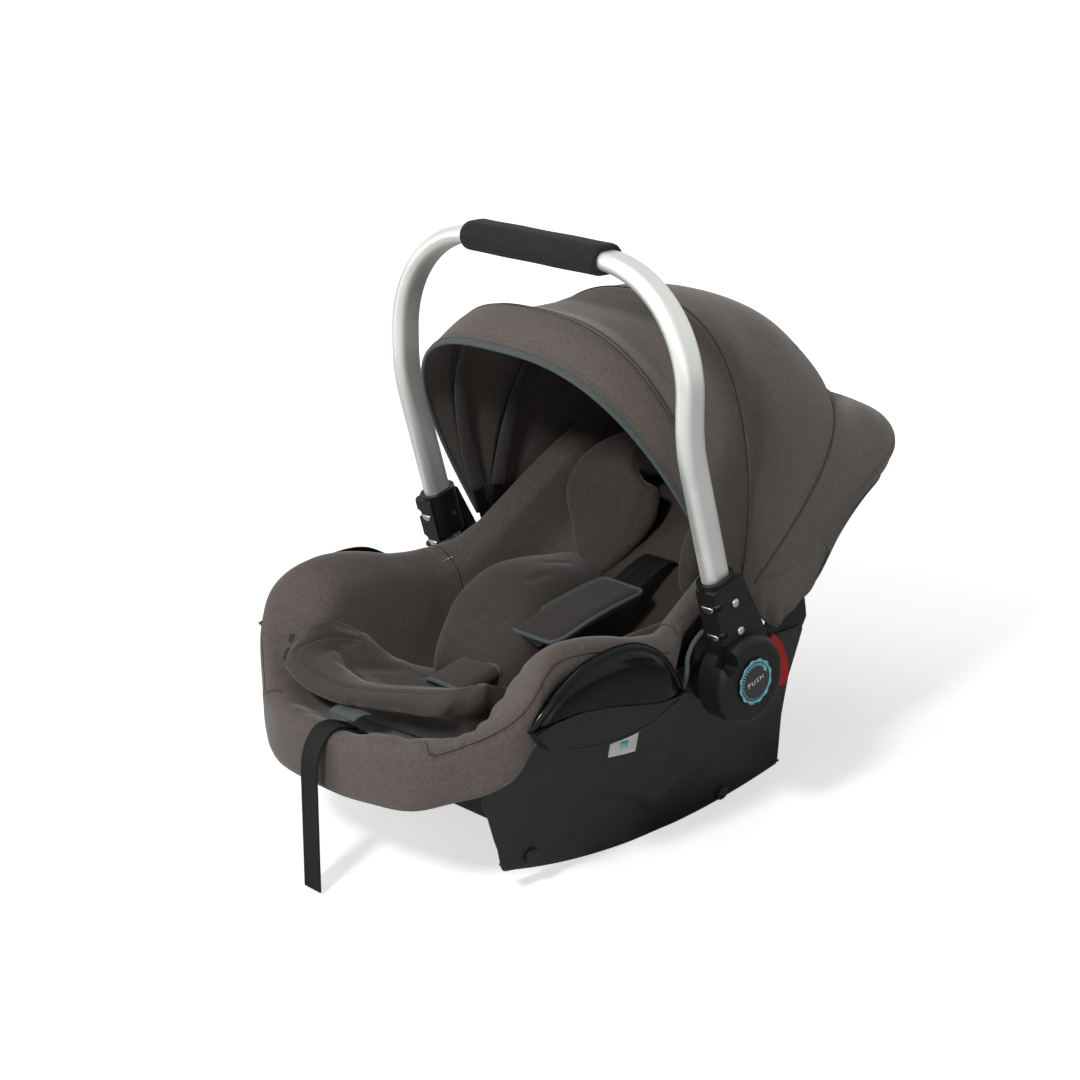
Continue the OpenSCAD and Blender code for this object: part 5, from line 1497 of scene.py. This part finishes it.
def hood_at(angle, t, grow=0.0):
    """A place on the hood: angle back from upright, t round it from the near pivot, in degrees."""
    angle, t = np.broadcast_arrays(np.asarray(angle, float), np.asarray(t, float))
    power = flow(angle, hood_square)
    x = (hood_half_w + grow) * spow(np.cos(np.radians(t)), 2 / power)
    r = (flow(angle, hood_height) + grow) * np.abs(np.sin(np.radians(t))) ** (2 / power)
    y = hood_y + r * np.sin(np.radians(angle))
    drop = np.where(angle > 51, flow(angle, hood_drop) * flow(y, boot_dip), 0.0)
    return np.stack([x, y, hood_z + r * np.cos(np.radians(angle)) + drop], -1)


def hood_slack(angle, t):
    """How the cloth lies: full over the bows, hollow between them, folded where it nears the pivots."""
    angle, t = np.broadcast_arrays(np.asarray(angle, float), np.asarray(t, float))
    low = np.minimum(t, 180 - t)
    sway = np.clip((low - 42) * 0.24, -7, 3)

    def fold(at, width, size, round_t, long_t, lean=1.0):
        return size * np.exp(-((angle - at - lean * sway) / width) ** 2) * np.exp(-((low - round_t)
            / long_t) ** 2)
    out = fold(18.5, 4.6, -3.0, 44, 26) + fold(31, 6.0, 2.2, 48, 26, 0.6)
    out += fold(-4, 6.5, -3.4, 52, 30, 0.3) + fold(8, 2.6, 2.4, 18, 12, 0.0)
    out += fold(39, 3.2, -1.5, 30, 15, 1.2) + fold(24.5, 1.8, 0.9, 30, 12, 1.4)
    out += fold(62, 4.5, -3.0, 40, 22, 0.0) + fold(73, 4.0, 1.6, 30, 16, 0.0) + fold(83, 3.0, -1.8, 40,
        20, 0.0)
    out += 1.4 * np.exp(-((angle - 9) / 1.5) ** 2) + 2.0 * np.exp(-((angle + 19.2) / 1.5) ** 2)
    out += -2.6 * np.exp(-((angle - 51.3) / 2.0) ** 2) * np.exp(-((low - 62) / 42.0) ** 2)
    out += 1.3 * np.sin(np.radians(3.1 * t + 40)) * np.exp(-((angle - 22) / 14) ** 2) * np.exp(-((low
        - 80) / 22.0) ** 2)
    return out


hood_columns = np.concatenate([np.linspace(1.4, 14, 20, endpoint=False),
                               np.linspace(14, 166, 120, endpoint=False), np.linspace(166, 178.6, 21)])


def hood_sheet(name, first, last, rows, body_call, node):
    """One panel of the hood: cloth outside, lining inside, closed round its edge."""
    angles = np.linspace(first, last, rows)
    a, t = np.meshgrid(angles, hood_columns, indexing="ij")
    g = hood_slack(a, t)
    outer, inner = hood_at(a, t, g), hood_at(a, t, g - 1.5)
    n = len(hood_columns)
    # cloth and lining by turns over the two faces, then cloth round the edge
    which = [0, 1] * ((rows - 1) * (n - 1)) + [0] * (2 * (rows + n - 2))
    piece = thin_sheet(name, outer, inner, [hood_cloth, hood_lining], face_finish=which)
    body_call(piece)
    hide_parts(node)


def crown_at(angle, depth=1.5):
    return tuple(np.array(hood_at(angle, 90.0, -depth)) / 1000)


# Angles of the visor's edge, the front bow, the middle bow, the boot's seam and its
# edge, with a hair of room between one panel and the next.
edge_at, front_at, middle_at, boot_at, end_at, seam_room = -31, -18, 9, 51, 91, 0.1
hood_sheet("hood_visor_band", edge_at, front_at - seam_room, 16, lambda p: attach(p, "hood_front"),
           "hood_visor")
hood_sheet("hood_front_cloth", front_at + seam_room, middle_at - seam_room, 34,
           lambda p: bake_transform(p, "hood_front", "hood_middle", start=crown_at(-18), end=crown_at(9)),
           "hood_front_panel")
hood_sheet("hood_rear_cloth", middle_at + seam_room, boot_at - seam_room, 52,
           lambda p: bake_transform(p, "hood_middle", "seat", start=crown_at(9), end=crown_at(51)),
           "hood_rear_panel")
hood_sheet("hood_boot_cloth", boot_at + seam_room, end_at, 46, lambda p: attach(p, "seat"), "hood_boot")


def hood_line(angle, t0=1.5, t1=178.5, lift=0.0, count=130):
    t = np.linspace(t0, t1, count)
    a = np.full_like(t, angle)
    return hood_at(a, t, hood_slack(a, t) + lift)


def trim(name, lines, radius, finish, body, flat=1.0, sides=8):
    piece = cord_line(name, lines, radius, finish, flat, sides=sides)
    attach(piece, body)
    return piece


trim("visor_edge_binding", [hood_line(edge_at, lift=-0.7)], 2.3, binding_tape, "hood_front",
     1.0, 10)
trim("visor_second_binding", [hood_line(-30.0, lift=0.0)], 1.5, binding_tape, "hood_front",
     0.7)
trim("visor_seams", [hood_line(-19.6, lift=0.15), hood_line(-18.4, lift=0.3)], 0.7, seam_thread,
     "hood_front", sides=6)
trim("middle_seam", [hood_line(middle_at, lift=0.25)], 0.9, seam_thread, "hood_middle",
     sides=6)
trim("boot_seam", [hood_line(boot_at, lift=0.1)], 0.8, seam_thread, "seat", sides=6)
trim("boot_edge_binding", [hood_line(end_at, lift=-0.5)], 2.2, binding_tape, "seat", 1.0,
     10)
grown("visor_stitches",
      thread_lines("visor_threads",
                   [hood_line(-28.9, lift=0.12, count=260), hood_line(-20.4, lift=0.12, count=260)]),
      stitcher, "hood_front", "hood_fabric", Thread=seam_thread)

# Bows: flat black plastic strips in cloth sleeves, piped along both edges.
dress(["front_bow", "mid_bow"], rocker_black)


def bow_sleeve(name, angle, half_w, height, power, body):
    t = np.radians(np.linspace(7, 173, 110))
    c, s_ = math.cos(math.radians(angle)), math.sin(math.radians(angle))
    across = np.array([0, c, -s_])

    def bow_line(out, beside):
        w, h = half_w + out, height + out
        x, z = w * spow(np.cos(t), 2 / power), h * np.sin(t) ** (2 / power)
        return np.stack([x, hood_y + s_ * z, hood_z + c * z], 1) + across * beside
    rings = [bow_line(o, b) for o, b in ((0.4, -7.2), (-0.4, -8.6), (-3.0, -8.4), (-4.4, -6.5),
                                         (-5.0, 0), (-4.4, 6.5), (-3.0, 8.4),
                                         (-0.4, 8.6), (0.4, 7.2), (0.6, 0))]
    p = np.stack(rings, 1)
    piece = lay(name, p, capped(*p.shape[:2]), sleeve_cloth)
    turned_out(piece)
    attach(piece, body)
    trim(name + "_piping", [bow_line(-2.0, -9.2), bow_line(-2.0, 9.2)], 0.8, binding_tape, body,
         sides=6)


bow_sleeve("front_bow_sleeve", -19.4, 174.5, 284.7, 2.5, "hood_front")
bow_sleeve("middle_bow_sleeve", 9.0, 170.7, 274.5, 2.5, "hood_middle")

# Each side of the hood ends in a gathered skirt, bound along its lower edge,
# that hides the pivot and is drawn in behind the hub.
for s, tag in both_sides:
    hem = smooth_line([(34, 254), (48, 240), (64, 224), (82, 209.5), (90, 207.5), (101, 212), (121, 224),
                       (139, 233), (153, 254), (160, 268)], 60)
    outer, inner = [], []
    q = np.linspace(0, 1, 16)
    for i, (y, z) in enumerate(hem):
        top_y, top_z = mix(y, 84, 0.12), max(262 + 0.16 * (y - 34), z + 6)
        ripple = 1.8 * math.sin(i * 0.55 + 0.6) * (1 - q) * math.exp(-((y - 86) / 30) ** 2)
        x = 179.5 - 4.5 * q**1.5 + ripple + 2.0 * np.sin(q * math.pi)
        outer.append(np.stack([s * x, mix(y, top_y, q), mix(z, top_z, q)], 1))
        inner.append(np.stack([s * (x - 2.2), mix(y, top_y, q), mix(z, top_z, q)], 1))
    skirt = thin_sheet("hood_skirt_" + tag, outer, inner, hood_cloth)
    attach(skirt, "seat")
    lower_edge = np.array(outer)[:, 0] - np.array([s * 1.1, 0, 0])
    trim("skirt_binding_" + tag, [lower_edge], 2.0, binding_tape, "seat")


# ---- Harness -------------------------------------------------------------
# Two shoulder straps of 38 mm webbing come out of slots in the back, run
# through folded padded sleeves and end in tongues at the crotch buckle.
pad_route = [(42, 14, 230), (42, -20, 226), (42, -60, 219), (40, -90, 210), (36, -106, 204.5)]
strap_run = [(42, 75.9, 240.8), (42, 72.5, 245), (42, 68, 247), (42, 60, 247.5), (42, 46, 243.5),
             (42, 30, 237)] + pad_route + [(35, -110, 203)]
# The pads' cloth is painted darker than the cover's, as painted shade where they lie down in the tub.
pad_cloth_painted_shade = cloth_finish("pad_cloth_painted_shade", tone("#1d1917"), tone("#302a27"))
pad_rows, pad_sides = 46, 40
for s, tag in both_sides:
    # the far strap and its pad are pressed down under the far cushion
    sunk = 0 if s > 0 else 20
    web, _ = flat_strap("shoulder_web_" + tag,
                        [(s * x, y, z - sunk * (y < 60)) for x, y, z in strap_run], 38, 2.0,
                        black_webbing, 60)
    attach(web, "seat")
    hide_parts("shoulder_strap_" + tag)
    line = smooth_line([(s * x, y, z - sunk) for x, y, z in pad_route], pad_rows)
    d = heading(line)
    up = np.stack([np.zeros(pad_rows), -d[:, 2], d[:, 1]], 1)
    up *= np.sign(up[:, 2])[:, None]
    side = np.array([1.0, 0, 0])
    run = np.linspace(0, 1, pad_rows)
    end_round = np.clip(np.minimum(run, 1 - run) / 0.09, 0, 1)
    half_w = 30 * (0.80 + 0.20 * np.sqrt(1 - (1 - end_round) ** 2))
    half_t = 6.0 * np.sqrt(1 - (1 - np.clip(np.minimum(run, 1 - run) / 0.05, 0, 1)) ** 2 * 0.75)
    rings = []
    w = 2 * math.pi * np.arange(pad_sides) / pad_sides
    puff = 1 - 0.16 * np.cos(w) ** 8
    for k in range(pad_rows):
        rings.append(line[k] + np.outer(half_w[k] * spow(np.cos(w), 0.42),
                                        side) + np.outer(half_t[k] * puff * spow(np.sin(w), 0.62), up[k]))
    pad = lay("shoulder_pad_sleeve_" + tag, rings, capped(pad_rows, pad_sides), pad_cloth_painted_shade)
    turned_out(pad)
    shaped(pad, [(line + up * 6 + side * q, 5.0, -1.0, True) for q in (-9.0, 10.0)])
    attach(pad, "seat")
    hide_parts("shoulder_pad_" + tag)
    edge = np.concatenate([line + up * 2.6 + side * (half_w * 0.995)[:, None],
                           (line + up * 2.6 - side * (half_w * 0.995)[:, None])[::-1]])
    edge = np.concatenate([edge, edge[:1]])
    trim("pad_binding_" + tag, [smooth_line(edge, 150)], 2.1, binding_tape, "seat", 1.0,
         8)

# Crotch sleeve: a flat padded tube round the crotch strap, bound at both ends.
crotch_at, crotch_rise = np.array([0, -190, 164.3]), math.radians(11)
c_, s_ = math.cos(crotch_rise), math.sin(crotch_rise)
along, above = np.array([0, c_, s_]), np.array([0, -s_, c_])


def sleeve_ring(at, a, b):
    return [crotch_at + along * at + np.array([x, 0, 0]) + above * z for x, z in oval_line(a, b, 40)]


sleeve = np.array([sleeve_ring(at, a, b) for at, a,
                   b in ((1.5, 43, 6.5), (0.2, 45.5, 9), (0.4, 48.5, 11.8), (3, 50, 13.2), (14, 51, 14),
                         (27, 51, 14.2),
                                                          (40, 51, 14), (51, 50, 13.2),
                                                          (53.6, 48.5, 11.8), (53.8, 45.5, 9),
                                                          (52.5, 43, 6.5))])
crotch_sleeve = lay("crotch_sleeve", sleeve, looped(*sleeve.shape[:2]), insert_cloth_painted_shade)
turned_out(crotch_sleeve)
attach(crotch_sleeve, "seat")
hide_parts("crotch_pad")
ends = []
for at in (0.8, 53.2):
    r = np.array(sleeve_ring(at, 47.5, 11.0))
    ends.append(np.concatenate([r, r[:2]]))
trim("crotch_binding", ends, 2.2, binding_tape, "seat")
crotch_web, _ = flat_strap("crotch_web",
                           [crotch_at + along * q + above * 1.4 for q in (4.2, 20, 36, 53)], 34, 2.0,
                           black_webbing, 16)
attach(crotch_web, "seat")
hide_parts("crotch_strap")

# Buckle: a moulded black body with a red press button and steel tongues.
buckle_black = plastic_finish("buckle_black", tone("#101111"), tone("#232423"), 0.36, 0.5, 1100.0, 0.12,
                              0.4)
dress(["buckle", "strap_adjuster"], buckle_black)
release_red = plastic_finish("release_red", tone("#b81d14"), tone("#d2402f"), 0.25, 0.36, 1100.0, 0.05,
                             0.3)
dress(["buckle_button"], release_red)

# Adjuster flap: a crescent of grey-green tape over the adjuster.
flap_web, _ = flat_strap("adjuster_tab", [(-10, -284, 166.5), (-10, -294, 168.8), (-10, -302, 168.6),
                                          (-10, -307, 166.5)], 37, 1.6, binding_tape, 24)
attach(flap_web, "seat")
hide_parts("adjuster_flap")

# Rear webbing: one strap under the shell joins the yoke to the adjuster.
under_route = [(0, y, float(flow(y, floor_keys)) - 6.0 - 4 * float(ease((y + 100) / 150)))
               for y in range(-255, 66, 20)]
under_web, _ = flat_strap("under_web", under_route, 24, 2.0, black_webbing, 60)
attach(under_web, "seat")
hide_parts("rear_webbing")
